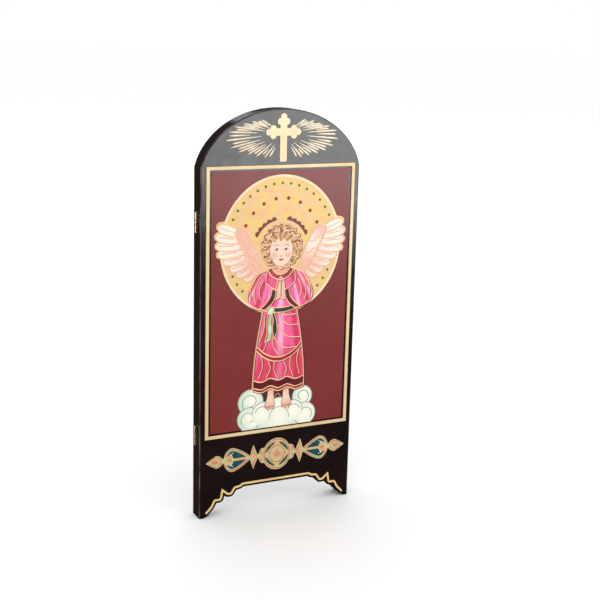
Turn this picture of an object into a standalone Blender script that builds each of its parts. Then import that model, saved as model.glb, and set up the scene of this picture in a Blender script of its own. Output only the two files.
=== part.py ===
# A miniature folding screen: two lacquered boards with an arched top and scalloped feet,
# hinged along the left edge and shown folded flat. The front board carries a gilt frame,
# an enamelled ground with a cut-out gilt icon sheet, a budded cross and a gilt base ornament.
# Units are metres, +Z is up and the front looks along -Y. The seam between the boards is y = 0.

import math

import bmesh
import bpy
from mathutils import Matrix, Vector

# Boards
BOARD_WIDTH = 0.0535
BOARD_HEIGHT = 0.130
BOARD_THICKNESS = 0.00295
FOLD_GAP = 0.0001
ARCH_RISE = 0.022
ARCH_OVERHANG = 0.00055
ARRIS_WIDTH = 0.0003
ARCH_STEPS = 56

# Scalloped apron, measured on the middle of the gilt edging line
EDGING_TOP_HEIGHT = 0.0100
EDGING_MARGIN = 0.0011
EDGING_WIDTH = 0.00065
EDGING_RELIEF = 0.00016
FOOT_WIDTH = 0.0015
LOBE_START = 0.01485
UPPER_LOBE_INSET = 0.0121
UPPER_LOBE_DROP = 0.0009
DIP_INSET = 0.0103
DIP_DROP = 0.0028
SPIKE_INSET = 0.00785
SPIKE_DROP = 0.0012
LEDGE_INSET = 0.0073
LEDGE_DROP = 0.0043
LOWER_LOBE_INSET = 0.0052
TOE_INSET = 0.0022
TOE_HEIGHT = 0.0016
CORNER_ROUNDING = 0.0006

# Gilt sheet work lies on the boards on a thin line of glue
GLUE_LINE = 0.00004

# Frame and coloured ground
FRAME_INSET = 0.00225
FRAME_TOP_DROP = 0.01751
FRAME_BOTTOM_HEIGHT = 0.02726
FRAME_BAR = 0.0011
FRAME_RELIEF = 0.00036
FRAME_ROUNDING = 0.00012
GROUND_GAP = 0.0006
GROUND_THICKNESS = 0.0001

# Icon sheet, whose foot and top are placed from the inner edges of the frame
ICON_FOOT_GAP = 0.00045
ICON_TOP_GAP = 0.00188
ICON_THICKNESS = 0.00012
DISC_WIDTH = 0.0412
NIMBUS_RADIUS = 0.0089
NIMBUS_CUT = 0.0013

# The icon's free forms are drawn in parts of its height and of the disc's width: across, up and
# radius
ICON_PARTS = 82
DISC_PARTS = 41.3
DISC_CENTRE = 59.8
DISC_HALF_HEIGHT = 22.2
SKIRT_TOP = 42.0
SKIRT_BOTTOM = 12.0
SKIRT_HALF_WIDTHS = (5.6, 9.3)
CLOUD_RIGHT = [(9.6, 3.2, 4.0), (8.6, 9.3, 3.7), (2.0, 6.0, 6.0)]
CLOUD_LEFT = [(-10.2, 3.6, 4.1), (-9.6, 9.2, 4.5), (-2.0, 6.0, 6.0)]
CLOUD_FOOT_SHARE = 0.93
FEATHER_TIPS = [(20.4, 66.6, 1.5), (21.0, 63.6, 1.5), (21.0, 60.7, 1.4), (20.6, 58.0, 1.3)]
HEM_GAPS = [(-0.2, 9.6, 1.0, 1.5), (-6.3, 9.8, 0.9, 1.3), (5.6, 9.8, 0.9, 1.3)]
NIMBUS_CENTRE = 59.0
NIMBUS_SPANS = [(24, 79), (101, 156)]
NIMBUS_SCALLOPS = 5

# Budded cross, placed from the top of the board
CROSS_DROP = 0.0070
CROSS_ARM_REACH = 0.0059
CROSS_TOP_REACH = 0.00565
CROSS_STEM_REACH = 0.0090
CROSS_BAR = 0.0023
CROSS_BUD = 0.00105
CROSS_THICKNESS = 0.0002

# Base ornament
ORNAMENT_HEIGHT = 0.0187
ORNAMENT_HALF_LENGTH = 0.0246
MEDALLION_WIDTH = 0.0099
MEDALLION_HEIGHT = 0.0109
MEDALLION_OPENING = 0.0081
COLLAR_HEIGHT = 0.0052
SPRIG_HEIGHT = 0.0082
SPRIG_SHARES = (0.258, 0.336, 0.380)
PALMETTE_HEIGHT = 0.0081
PALMETTE_SHARES = (0.352, 0.63, 0.757)
LEAF_HEIGHT = 0.0042
ORNAMENT_BAR = 0.0015
ORNAMENT_RIM = 0.00095
ORNAMENT_THICKNESS = 0.0002

# Hinges
UPPER_HINGE_DROP = 0.0340
LOWER_HINGE_HEIGHT = 0.0276
HINGE_LENGTH = 0.0062
HINGE_AXIS_GAP = 0.0001
KNUCKLE_RADIUS = 0.00075
KNUCKLE_GAP = 0.0001
LEAF_REACH = 0.0054
LEAF_THICKNESS = 0.0004
PIN_RADIUS = 0.00035
PIN_CLEARANCE = 0.00005
PIN_HEAD_RADIUS = 0.00052
PIN_HEAD_HEIGHT = 0.00028
FIT_CLEARANCE = 0.00005

# Places that follow from the sizes above
HALF_WIDTH = BOARD_WIDTH / 2
FRONT_FACE = -(FOLD_GAP / 2 + BOARD_THICKNESS)
AXIS_X = -(HALF_WIDTH + HINGE_AXIS_GAP)
CENTRE_SHIFT = (KNUCKLE_RADIUS + HINGE_AXIS_GAP) / 2
FRAME_HALF_WIDTH = HALF_WIDTH - FRAME_INSET
FRAME_TOP_HEIGHT = BOARD_HEIGHT - FRAME_TOP_DROP
GROUND_INSET = FRAME_BAR / 2 + GROUND_GAP
ICON_BASE = FRAME_BOTTOM_HEIGHT + FRAME_BAR / 2 + ICON_FOOT_GAP
ICON_HEIGHT = FRAME_TOP_HEIGHT - FRAME_BAR / 2 - ICON_TOP_GAP - ICON_BASE
UP_UNIT = ICON_HEIGHT / ICON_PARTS
ACROSS_UNIT = DISC_WIDTH / DISC_PARTS
CROSS_HEIGHT = BOARD_HEIGHT - CROSS_DROP
HINGE_HEIGHTS = {"upper": BOARD_HEIGHT - UPPER_HINGE_DROP, "lower": LOWER_HINGE_HEIGHT}
TINY = 0.000001


def clear_scene():
    for thing in list(bpy.data.objects):
        bpy.data.objects.remove(thing, do_unlink=True)


def new_collection(name):
    collection = bpy.data.collections.new(name)
    bpy.context.scene.collection.children.link(collection)
    return collection


def new_material(name, colour, roughness, metallic):
    material = bpy.data.materials.new(name)
    material.use_nodes = True
    shader = material.node_tree.nodes["Principled BSDF"]
    shader.inputs["Base Color"].default_value = (*colour, 1.0)
    shader.inputs["Roughness"].default_value = roughness
    shader.inputs["Metallic"].default_value = metallic
    return material


# Outlines are lists of (across, up) points

def arc(centre, radius, start, end, steps):
    angles = [start + (end - start) * i / steps for i in range(steps + 1)]
    return [(centre[0] + radius * math.cos(a), centre[1] + radius * math.sin(a)) for a in angles]


def mirrored(points):
    return [(-x, y) for x, y in reversed(points)]


def rounded(points, radius, sharp, steps=4):
    # Replaces each inner corner of an open line by a small arc, limited by its two legs
    result = [points[0]]
    for before, corner, after in zip(points, points[1:], points[2:]):
        if corner in sharp:
            result.append(corner)
            continue
        a = Vector(before) - Vector(corner)
        b = Vector(after) - Vector(corner)
        half = a.angle(b) / 2
        reach = min(radius / math.tan(half), a.length * 0.45, b.length * 0.45)
        middle = Vector(corner) + (a.normalized() + b.normalized()).normalized() * reach / math.cos(half)
        first = Vector(corner) + a.normalized() * reach
        last = Vector(corner) + b.normalized() * reach
        size = (first - middle).length
        turn = (first - middle).angle_signed(last - middle)
        start = math.atan2(*reversed(first - middle))
        result += arc(middle, size, start, start - turn, steps)
    result.append(points[-1])
    return result


def cross_point(a, b, c, d):
    # Where the stretch a to b crosses the stretch c to d, or None
    u, v, w = Vector(b) - Vector(a), Vector(d) - Vector(c), Vector(c) - Vector(a)
    bottom = u.x * v.y - u.y * v.x
    if abs(bottom) < 1e-18:
        return None
    s = (w.x * v.y - w.y * v.x) / bottom
    t = (w.x * u.y - w.y * u.x) / bottom
    if 0 < s < 1 and 0 < t < 1:
        return tuple(Vector(a) + u * s)
    return None


def without_loops(points):
    # Cuts the small loops out of a line that was moved sideways
    result = list(points)
    start = 0
    while start < len(result) - 3:
        for end in range(len(result) - 2, start + 1, -1):
            meeting = cross_point(*result[start:start + 2], *result[end:end + 2])
            if meeting:
                result[start + 1:end + 1] = [meeting]
                break
        start += 1
    return result


def moved_sideways(points, distance):
    # Positive moves to the right of the way the line runs
    directions = [(Vector(b) - Vector(a)).normalized() for a, b in zip(points, points[1:])]
    result = []
    for i, point in enumerate(points):
        before = directions[max(i - 1, 0)]
        after = directions[min(i, len(directions) - 1)]
        side = Vector((before.y + after.y, -before.x - after.x)).normalized()
        stretch = side.dot(Vector((after.y, -after.x)))
        result.append(tuple(Vector(point) + side * distance / max(stretch, 0.2)))
    return without_loops(result)


def edging_line():
    # Middle of the gilt line, from the centre of the apron out to the right foot
    top = EDGING_TOP_HEIGHT
    lobe = top - UPPER_LOBE_DROP
    dip = top - DIP_DROP
    ledge = top - LEDGE_DROP
    spike = (HALF_WIDTH - SPIKE_INSET, top - SPIKE_DROP)
    points = [
        (0.0, top),
        (HALF_WIDTH - LOBE_START, top),
        (HALF_WIDTH - LOBE_START + 0.3 * (LOBE_START - UPPER_LOBE_INSET), lobe + 0.3 * (top - lobe)),
        (HALF_WIDTH - UPPER_LOBE_INSET, lobe),
        (HALF_WIDTH - DIP_INSET - 0.3 * (UPPER_LOBE_INSET - DIP_INSET), dip),
        (HALF_WIDTH - DIP_INSET + 0.2 * (DIP_INSET - SPIKE_INSET), dip),
        spike,
        (HALF_WIDTH - LEDGE_INSET, ledge),
        (HALF_WIDTH - LOWER_LOBE_INSET, ledge),
        (HALF_WIDTH - LOWER_LOBE_INSET + 0.35 * (LOWER_LOBE_INSET - TOE_INSET), (ledge + TOE_HEIGHT) / 2),
        (HALF_WIDTH - TOE_INSET, TOE_HEIGHT),
    ]
    return rounded(points, CORNER_ROUNDING, [spike])


def board_outline():
    apron = moved_sideways(edging_line(), EDGING_MARGIN)
    half_span = HALF_WIDTH + ARCH_OVERHANG
    shoulder = math.acos(HALF_WIDTH / half_span)
    spring = BOARD_HEIGHT - ARCH_RISE
    right = apron[1:] + [(HALF_WIDTH - FOOT_WIDTH, 0.0), (HALF_WIDTH, 0.0)]
    for i in range(ARCH_STEPS // 2):
        angle = shoulder + (math.pi / 2 - shoulder) * i / (ARCH_STEPS // 2)
        right.append((half_span * math.cos(angle), spring + ARCH_RISE * math.sin(angle)))
    return right + [(0.0, BOARD_HEIGHT)] + mirrored(right)


def flat_curve(name, loops, thickness, face, side):
    # A flat sheet in the XZ plane. Its inner side is at y = face, and side is -1 for the front
    curve = bpy.data.curves.new(name, "CURVE")
    curve.dimensions = "2D"
    curve.fill_mode = "BOTH"
    curve.extrude = thickness / 2
    for loop in loops:
        spline = curve.splines.new("POLY")
        spline.points.add(len(loop) - 1)
        for point, (x, y) in zip(spline.points, loop):
            point.co = (x, y, 0.0, 1.0)
        spline.use_cyclic_u = True
    sheet = bpy.data.objects.new(name, curve)
    sheet.rotation_euler.x = math.pi / 2
    sheet.location.y = face + side * thickness / 2
    return sheet


def as_mesh(curve_object, collection):
    # Turns a curve object into a welded mesh object of the same name and place
    name = curve_object.name
    collection.objects.link(curve_object)
    bpy.context.view_layer.update()
    evaluated = curve_object.evaluated_get(bpy.context.evaluated_depsgraph_get())
    mesh = bpy.data.meshes.new_from_object(evaluated)
    matrix = curve_object.matrix_world.copy()
    bpy.data.objects.remove(curve_object, do_unlink=True)
    work = bmesh.new()
    work.from_mesh(mesh)
    bmesh.ops.remove_doubles(work, verts=work.verts, dist=TINY)
    bmesh.ops.dissolve_limit(work, angle_limit=0.001, verts=work.verts, edges=work.edges)
    work.to_mesh(mesh)
    work.free()
    solid = bpy.data.objects.new(name, mesh)
    solid.matrix_world = matrix
    collection.objects.link(solid)
    return solid


def place(thing, collection, parent, material):
    if thing.name not in collection.objects:
        collection.objects.link(thing)
    thing.parent = parent
    thing.data.materials.clear()
    thing.data.materials.append(material)
    return thing


def ease_edges(thing, width):
    weld = thing.modifiers.new("weld caps", "WELD")
    weld.merge_threshold = TINY
    bevel = thing.modifiers.new("eased edges", "BEVEL")
    bevel.width = width
    bevel.segments = 2
    bevel.limit_method = "ANGLE"
    bevel.angle_limit = math.radians(50)


def cutter(name, mesh, location, collection):
    thing = bpy.data.objects.new(name, mesh)
    thing.location = location
    thing.hide_render = True
    thing.display_type = "WIRE"
    collection.objects.link(thing)
    return thing


def box_mesh(name, size):
    work = bmesh.new()
    bmesh.ops.create_cube(work, size=1.0, matrix=Matrix.Diagonal((*size, 1.0)))
    mesh = bpy.data.meshes.new(name)
    work.to_mesh(mesh)
    work.free()
    return mesh


def rod_mesh(name, radius, length, segments=24):
    work = bmesh.new()
    bmesh.ops.create_cone(work, cap_ends=True, segments=segments, radius1=radius, radius2=radius,
                          depth=length)
    mesh = bpy.data.meshes.new(name)
    work.to_mesh(mesh)
    work.free()
    return mesh


def move_to_parent(things, parent, offset):
    # A part on the rear panel is measured from the fold axis, its parent
    for thing in things:
        thing.parent = parent
        thing.location.x -= offset


def combine(thing, other, operation, label):
    modifier = thing.modifiers.new(label, "BOOLEAN")
    modifier.operation = operation
    modifier.solver = "EXACT"
    modifier.object = other


# Boards

def round_outer_arris(board, face, width):
    # Eases the outer edge round the arch and down both sides, but not along the apron
    work = bmesh.new()
    work.from_mesh(board.data)
    local_face = board.location.y - face
    chosen = []
    for edge in work.edges:
        on_face = all(abs(v.co.z - local_face) < TINY * 5 for v in edge.verts)
        outside = all(v.co.y > BOARD_HEIGHT - ARCH_RISE or abs(abs(v.co.x) - HALF_WIDTH) < TINY * 5
                      for v in edge.verts)
        if on_face and outside and len(edge.link_faces) == 2:
            chosen.append(edge)
    bmesh.ops.bevel(work, geom=chosen, offset=width, segments=2, profile=0.5, affect="EDGES",
                    clamp_overlap=True)
    work.to_mesh(board.data)
    work.free()


def make_board(name, side, collection, cutters, parent, material, offset):
    inner = side * FOLD_GAP / 2
    board = as_mesh(flat_curve(name, [board_outline()], BOARD_THICKNESS, inner, side), collection)
    round_outer_arris(board, inner + side * BOARD_THICKNESS, ARRIS_WIDTH)
    helpers = []
    for place_name, height in HINGE_HEIGHTS.items():
        depth = LEAF_THICKNESS + FIT_CLEARANCE
        reach = LEAF_REACH - HINGE_AXIS_GAP + FIT_CLEARANCE
        length = HINGE_LENGTH + 2 * FIT_CLEARANCE
        mortise = box_mesh("mortise", (2 * reach, 2 * depth, length))
        where = (-HALF_WIDTH, inner, height)
        mortise_cutter = cutter(f"{name}_{place_name}_mortise", mortise, where, cutters)
        run = HINGE_LENGTH + 2 * (PIN_HEAD_HEIGHT + KNUCKLE_GAP + FIT_CLEARANCE)
        relief = rod_mesh("relief", KNUCKLE_RADIUS + KNUCKLE_GAP, run)
        relief_cutter = cutter(f"{name}_{place_name}_relief", relief, (AXIS_X, 0.0, height), cutters)
        combine(board, mortise_cutter, "DIFFERENCE", f"{place_name} mortise")
        combine(board, relief_cutter, "DIFFERENCE", f"{place_name} relief")
        helpers += [mortise_cutter, relief_cutter]
    move_to_parent([board] + helpers, parent, offset)
    return place(board, collection, parent, material)


# Gilt sheet work

def rectangle(half_width, bottom, top):
    return [(-half_width, bottom), (half_width, bottom), (half_width, top), (-half_width, top)]


def make_frame(name, side, collection, parent, material, offset):
    half = FRAME_BAR / 2
    outer = rectangle(FRAME_HALF_WIDTH + half, FRAME_BOTTOM_HEIGHT - half, FRAME_TOP_HEIGHT + half)
    inner = rectangle(FRAME_HALF_WIDTH - half, FRAME_BOTTOM_HEIGHT + half, FRAME_TOP_HEIGHT - half)
    face = side * (-FRONT_FACE + GLUE_LINE)
    frame = flat_curve(name, [outer, inner], FRAME_RELIEF, face, side)
    frame.location.x -= offset
    ease_edges(frame, FRAME_ROUNDING)
    return place(frame, collection, parent, material)


def make_ground(name, side, collection, parent, material, offset):
    outline = rectangle(FRAME_HALF_WIDTH - GROUND_INSET, FRAME_BOTTOM_HEIGHT + GROUND_INSET,
                        FRAME_TOP_HEIGHT - GROUND_INSET)
    face = side * (-FRONT_FACE + GLUE_LINE)
    ground = flat_curve(name, [outline], GROUND_THICKNESS, face, side)
    ground.location.x -= offset
    return place(ground, collection, parent, material)


def make_edging(name, side, collection, parent, material, offset):
    line = edging_line()
    upper = moved_sideways(line, -EDGING_WIDTH / 2)
    lower = moved_sideways(line, EDGING_WIDTH / 2)
    top_right = [(0.0, upper[0][1])] + upper[1:]
    bottom_right = [(0.0, lower[0][1])] + lower[1:]
    outline = mirrored(top_right)[:-1] + top_right + list(reversed(bottom_right))
    outline += mirrored(list(reversed(bottom_right)))[1:]
    face = side * (-FRONT_FACE + GLUE_LINE)
    edging = flat_curve(name, [outline], EDGING_RELIEF, face, side)
    edging.location.x -= offset
    return place(edging, collection, parent, material)


# Each shape of the icon gives how far it reaches to the right and left at a height

def round_shape(centre, radius, squash=1.0, steps=7):
    def reach(height, sign):
        rise = (height - centre[1]) / squash
        if abs(rise) > radius:
            return None
        return sign * centre[0] + math.sqrt(radius * radius - rise * rise)
    quarter = math.pi / 2 / steps
    levels = [centre[1] + squash * radius * math.sin(quarter * i) for i in range(-steps, steps + 1)]
    return reach, levels


def skirt_shape(top, bottom, top_half, bottom_half):
    def reach(height, sign):
        if not bottom <= height <= top:
            return None
        share = (top - height) / (top - bottom)
        return top_half + (bottom_half - top_half) * math.sin(share * math.pi / 2)
    levels = [bottom + (top - bottom) * i / 8 for i in range(9)]
    return reach, levels


def silhouette(shapes, sign, bottom, top):
    levels = sorted({round(level, 7) for _, steps in shapes for level in steps if bottom < level < top})
    points = []
    for level in levels:
        reaches = [reach(level, sign) for reach, _ in shapes]
        widest = max((r for r in reaches if r is not None), default=None)
        if widest is not None:
            points.append((sign * widest, level))
    return points


def icon_outline():
    disc_squash = DISC_HALF_HEIGHT * UP_UNIT / (DISC_WIDTH / 2)
    lobe_squash = UP_UNIT / ACROSS_UNIT
    shapes = [round_shape((0.0, DISC_CENTRE * UP_UNIT), DISC_WIDTH / 2, disc_squash, 28)]
    top_half, bottom_half = (width * ACROSS_UNIT for width in SKIRT_HALF_WIDTHS)
    shapes.append(skirt_shape(SKIRT_TOP * UP_UNIT, SKIRT_BOTTOM * UP_UNIT, top_half, bottom_half))
    feathers_left = [(-across, up, size) for across, up, size in FEATHER_TIPS]
    for sign, lobes in ((1, CLOUD_RIGHT + FEATHER_TIPS), (-1, CLOUD_LEFT + feathers_left)):
        for across, up, size in lobes:
            lobe = round_shape((across * ACROSS_UNIT, up * UP_UNIT), size * ACROSS_UNIT, lobe_squash)
            shapes.append(one_sided(lobe, sign))
    right = silhouette(shapes, 1, 0.0, ICON_HEIGHT)
    left = silhouette(shapes, -1, 0.0, ICON_HEIGHT)
    floor_right = max(x for x, y in right[:6]) * CLOUD_FOOT_SHARE
    floor_left = min(x for x, y in left[:6]) * CLOUD_FOOT_SHARE
    outline = [(floor_left, 0.0), (floor_right, 0.0)] + right
    outline += [(0.0, ICON_HEIGHT)] + list(reversed(left))
    return [(x, y + ICON_BASE) for x, y in outline]


def one_sided(shape, wanted):
    reach, levels = shape
    return (lambda height, sign: reach(height, sign) if sign == wanted else None), levels


def nimbus_cuts():
    # Scalloped slits round the head, where the coloured ground shows through
    centre = (0.0, ICON_BASE + NIMBUS_CENTRE * UP_UNIT)
    cuts = []
    for start, end in NIMBUS_SPANS:
        inner = arc(centre, NIMBUS_RADIUS, math.radians(end), math.radians(start), 10)
        outer = []
        steps = NIMBUS_SCALLOPS * 6
        for i in range(steps + 1):
            share = i / steps
            angle = math.radians(start + (end - start) * share)
            swell = abs(math.sin(math.pi * NIMBUS_SCALLOPS * share)) * 0.45 + 0.55
            radius = NIMBUS_RADIUS + NIMBUS_CUT * swell
            outer.append((centre[0] + radius * math.cos(angle), centre[1] + radius * math.sin(angle)))
        cuts.append(outer + inner)
    return cuts


def hem_cuts():
    # Small gaps between the hem, the feet and the cloud
    turns = [math.tau * i / 12 for i in range(12)]
    cuts = []
    for across, up, half_width, half_height in HEM_GAPS:
        cuts.append([(ACROSS_UNIT * (across + half_width * math.cos(a)),
                      ICON_BASE + UP_UNIT * (up + half_height * math.sin(a))) for a in turns])
    return cuts


def make_icon(collection, parent, material):
    loops = [icon_outline()] + nimbus_cuts() + hem_cuts()
    face = FRONT_FACE - 2 * GLUE_LINE - GROUND_THICKNESS
    return place(flat_curve("front_icon", loops, ICON_THICKNESS, face, -1), collection, parent, material)


def circle_meeting(a, radius_a, b, radius_b):
    # The meeting point of two overlapping circles that lies to the right of the way from a to b
    gap = Vector(b) - Vector(a)
    along = (radius_a ** 2 - radius_b ** 2 + gap.length_squared) / (2 * gap.length)
    aside = math.sqrt(max(radius_a ** 2 - along ** 2, 0.0))
    normal = Vector((gap.y, -gap.x)).normalized()
    return Vector(a) + gap.normalized() * along + normal * aside


def bud_arm(reach, half_bar, bud):
    # One arm of the cross that runs along +X and ends in three round lobes
    side = (reach - 2.35 * bud, 1.0 * bud)
    tip = (reach - bud, 0.0)
    back = math.pi - math.asin((half_bar - side[1]) / bud)
    meeting = circle_meeting(tip, bud, side, bud)
    side_end = math.atan2(meeting.y - side[1], meeting.x - side[0])
    tip_start = math.atan2(meeting.y, meeting.x - tip[0])
    upper = arc(side, bud, back, side_end, 9)
    point = arc(tip, bud, tip_start, -tip_start, 10)
    lower = [(x, -y) for x, y in reversed(upper)]
    return [(half_bar, half_bar)] + upper + point[1:-1] + lower + [(half_bar, -half_bar)]


def make_cross(collection, parent, material):
    half = CROSS_BAR / 2
    points = []
    for reach, angle in ((CROSS_TOP_REACH, math.pi / 2), (CROSS_ARM_REACH, 0.0)):
        turn = Matrix.Rotation(angle, 2)
        points += [tuple(turn @ Vector(p)) for p in bud_arm(reach, half, CROSS_BUD)][:-1]
    points += [(half, -half), (half, -CROSS_STEM_REACH), (-half, -CROSS_STEM_REACH)]
    turn = Matrix.Rotation(math.pi, 2)
    points += [tuple(turn @ Vector(p)) for p in bud_arm(CROSS_ARM_REACH, half, CROSS_BUD)][:-1]
    outline = [(x, y + CROSS_HEIGHT) for x, y in points]
    cross = flat_curve("front_cross", [outline], CROSS_THICKNESS, FRONT_FACE - GLUE_LINE, -1)
    return place(cross, collection, parent, material)


# The base ornament is the same above and below its middle line, and on both sides. Each of its
# shapes gives how high it stands at a distance from the centre, and where it needs points.

def share_x(share):
    return share * ORNAMENT_HALF_LENGTH


def even_steps(start, end, steps):
    return [start + (end - start) * i / steps for i in range(steps + 1)]


def medallion_top(x):
    return MEDALLION_HEIGHT / 2 * math.sqrt(max(1 - (2 * x / MEDALLION_WIDTH) ** 2, 0.0))


def collar_top(x):
    start, end = MEDALLION_WIDTH / 2 - share_x(0.03), MEDALLION_WIDTH / 2 + share_x(0.055)
    if not start <= x <= end:
        return 0.0
    share = (x - start) / (end - start)
    return COLLAR_HEIGHT / 2 * (1 - 0.4 * share ** 4)


def sprig_top(x):
    # A horn that starts on the side of the medallion, leans outward and falls off steeply
    start, tip, end = (share_x(share) for share in SPRIG_SHARES)
    if not start <= x <= end:
        return 0.0
    if x < tip:
        return SPRIG_HEIGHT / 2 * ((x - start) / (tip - start)) ** 1.3
    return SPRIG_HEIGHT / 2 * ((end - x) / (end - tip)) ** 0.58


def palmette_top(x, rim=0.0):
    start, widest, end = (share_x(share) for share in PALMETTE_SHARES)
    start, end = start + rim * 1.6, end - rim
    if not start < x < end:
        return 0.0
    height = PALMETTE_HEIGHT / 2 - rim
    if x < widest:
        return height * (1 - ((widest - x) / (widest - start)) ** 1.4)
    return height * math.sqrt(1 - ((x - widest) / (end - widest)) ** 2)


def leaf_top(x):
    start, widest, end = share_x(0.765), share_x(0.862), share_x(1.0)
    if not start < x < end:
        return 0.0
    if x < widest:
        return LEAF_HEIGHT / 2 * math.sqrt(1 - ((widest - x) / (widest - start)) ** 2)
    return LEAF_HEIGHT / 2 * ((end - x) / (end - widest)) ** 0.85


def bar_top(x):
    inside = share_x(0.1) < x < share_x(0.42) or share_x(0.73) < x < share_x(0.80)
    return ORNAMENT_BAR / 2 if inside else 0.0


def ornament_top(x):
    return max(f(x) for f in (medallion_top, collar_top, sprig_top, palmette_top, leaf_top, bar_top))


def ornament_outline():
    half = MEDALLION_WIDTH / 2
    sprig_start, sprig_tip, sprig_end = (share_x(share) for share in SPRIG_SHARES)
    _, widest, end = (share_x(share) for share in PALMETTE_SHARES)
    places = [half * math.sin(math.pi / 2 * i / 14) for i in range(1, 14)]
    places += even_steps(half, half + share_x(0.056), 4)
    places += even_steps(sprig_start, sprig_tip, 7)
    places += [sprig_end - (sprig_end - sprig_tip) * (1 - i / 5) ** 1.6 for i in range(1, 6)]
    places += even_steps(sprig_end + share_x(0.01), widest, 9)
    places += [widest + (end - widest) * math.sin(math.pi / 2 * i / 9) for i in range(1, 10)]
    places += [share_x(0.862 - 0.097 * math.cos(math.pi / 2 * i / 6)) for i in range(1, 7)]
    places += even_steps(share_x(0.88), share_x(0.99), 5)
    quarter = [(x, ornament_top(x)) for x in sorted(set(places)) if ornament_top(x) > 0]
    upper = [(0.0, MEDALLION_HEIGHT / 2)] + quarter + [(share_x(1.0), 0.0)]
    upper = mirrored(upper)[:-1] + upper
    lower = [(x, -y) for x, y in reversed(upper[1:-1])]
    return upper + lower


def medallion_cuts():
    # Four crescent openings on a circle inside the rim
    cuts = []
    radius = MEDALLION_OPENING / 2
    for quarter in range(4):
        middle = math.pi / 4 + quarter * math.pi / 2
        outer, inner = [], []
        for i in range(9):
            angle = middle + math.radians(62) * (i / 8 - 0.5)
            depth = 1 - 0.19 * math.sin(math.pi * i / 8) ** 0.7
            outer.append((radius * math.cos(angle), radius * math.sin(angle)))
            inner.append((radius * depth * math.cos(angle), radius * depth * math.sin(angle)))
        cuts.append(outer + list(reversed(inner[1:-1])))
    return cuts


def palmette_cuts():
    # Two openings in each palmette, over and under its rib and round its bud
    rib = ORNAMENT_BAR * 0.26
    bud_centre, bud_radius = share_x(0.672), PALMETTE_HEIGHT * 0.16
    upper, lower = [], []
    for x in even_steps(share_x(0.40), share_x(PALMETTE_SHARES[2]), 36):
        bud = math.sqrt(max(bud_radius ** 2 - (x - bud_centre) ** 2, 0.0))
        floor = rib + bud
        roof = palmette_top(x, ORNAMENT_RIM)
        if roof > floor + rib * 0.1:
            upper.append((x, roof))
            lower.append((x, floor))
    loop = upper + list(reversed(lower))
    cuts = [loop, [(x, -y) for x, y in reversed(loop)]]
    return cuts + [mirrored(cut) for cut in cuts]


def make_ornament(collection, parent, material):
    loops = [ornament_outline()] + medallion_cuts() + palmette_cuts()
    loops = [[(x, y + ORNAMENT_HEIGHT) for x, y in loop] for loop in loops]
    ornament = flat_curve("front_ornament", loops, ORNAMENT_THICKNESS, FRONT_FACE - GLUE_LINE, -1)
    return place(ornament, collection, parent, material)


# Hinges: the front leaf has the outer knuckles, the rear leaf the middle one

def knuckle_spans(outer):
    third = HINGE_LENGTH / 3
    half_gap = KNUCKLE_GAP / 2
    if outer:
        return [(-HINGE_LENGTH / 2, -third / 2 - half_gap), (third / 2 + half_gap, HINGE_LENGTH / 2)]
    return [(-third / 2 + half_gap, third / 2 - half_gap)]


def make_leaf(name, height, side, outer, collection, cutters, parent, material, offset):
    clear = KNUCKLE_RADIUS + KNUCKLE_GAP
    start, end = AXIS_X + clear, AXIS_X + LEAF_REACH
    centre_y = side * (FOLD_GAP / 2 + LEAF_THICKNESS / 2)
    plate = box_mesh(name, (end - start, LEAF_THICKNESS, HINGE_LENGTH))
    leaf = bpy.data.objects.new(name, plate)
    leaf.location = ((start + end) / 2, centre_y, height)
    helpers = []
    for index, (low, high) in enumerate(knuckle_spans(outer)):
        length, middle = high - low, height + (low + high) / 2
        tab = box_mesh("tab", (clear * 1.2, LEAF_THICKNESS, length))
        tab_helper = cutter(f"{name}_tab_{index}", tab, (AXIS_X + clear * 0.6, centre_y, middle), cutters)
        knuckle = rod_mesh("knuckle", KNUCKLE_RADIUS, length)
        knuckle_helper = cutter(f"{name}_knuckle_{index}", knuckle, (AXIS_X, 0.0, middle), cutters)
        combine(leaf, tab_helper, "UNION", f"tab {index}")
        combine(leaf, knuckle_helper, "UNION", f"knuckle {index}")
        helpers += [tab_helper, knuckle_helper]
    bore = rod_mesh("bore", PIN_RADIUS + PIN_CLEARANCE, HINGE_LENGTH * 1.5)
    bore_cutter = cutter(f"{name}_bore", bore, (AXIS_X, 0.0, height), cutters)
    combine(leaf, bore_cutter, "DIFFERENCE", "bore")
    move_to_parent([leaf, bore_cutter] + helpers, parent, offset)
    return place(leaf, collection, parent, material)


def make_pin(name, height, collection, parent, material):
    # A turned profile, from the top of the head down the outer side to the foot
    half = HINGE_LENGTH / 2
    head_base = half + FIT_CLEARANCE
    head_top = head_base + PIN_HEAD_HEIGHT
    profile = [(0.0, head_top)]
    for i in range(1, 4):
        angle = math.pi / 2 * (1 - i / 3)
        profile.append((PIN_HEAD_RADIUS * math.cos(angle), head_base + PIN_HEAD_HEIGHT * math.sin(angle)))
    profile.append((PIN_RADIUS, head_base))
    profile += [(r, -z) for r, z in reversed(profile)]
    work = bmesh.new()
    verts = [work.verts.new((r, 0.0, z)) for r, z in profile]
    for a, b in zip(verts, verts[1:]):
        work.edges.new((a, b))
    mesh = bpy.data.meshes.new(name)
    work.to_mesh(mesh)
    work.free()
    pin = bpy.data.objects.new(name, mesh)
    pin.location = (AXIS_X, 0.0, height)
    screw = pin.modifiers.new("turned", "SCREW")
    screw.steps = 16
    screw.render_steps = 16
    screw.use_merge_vertices = True
    screw.merge_threshold = TINY
    return place(pin, collection, parent, material)


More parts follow.
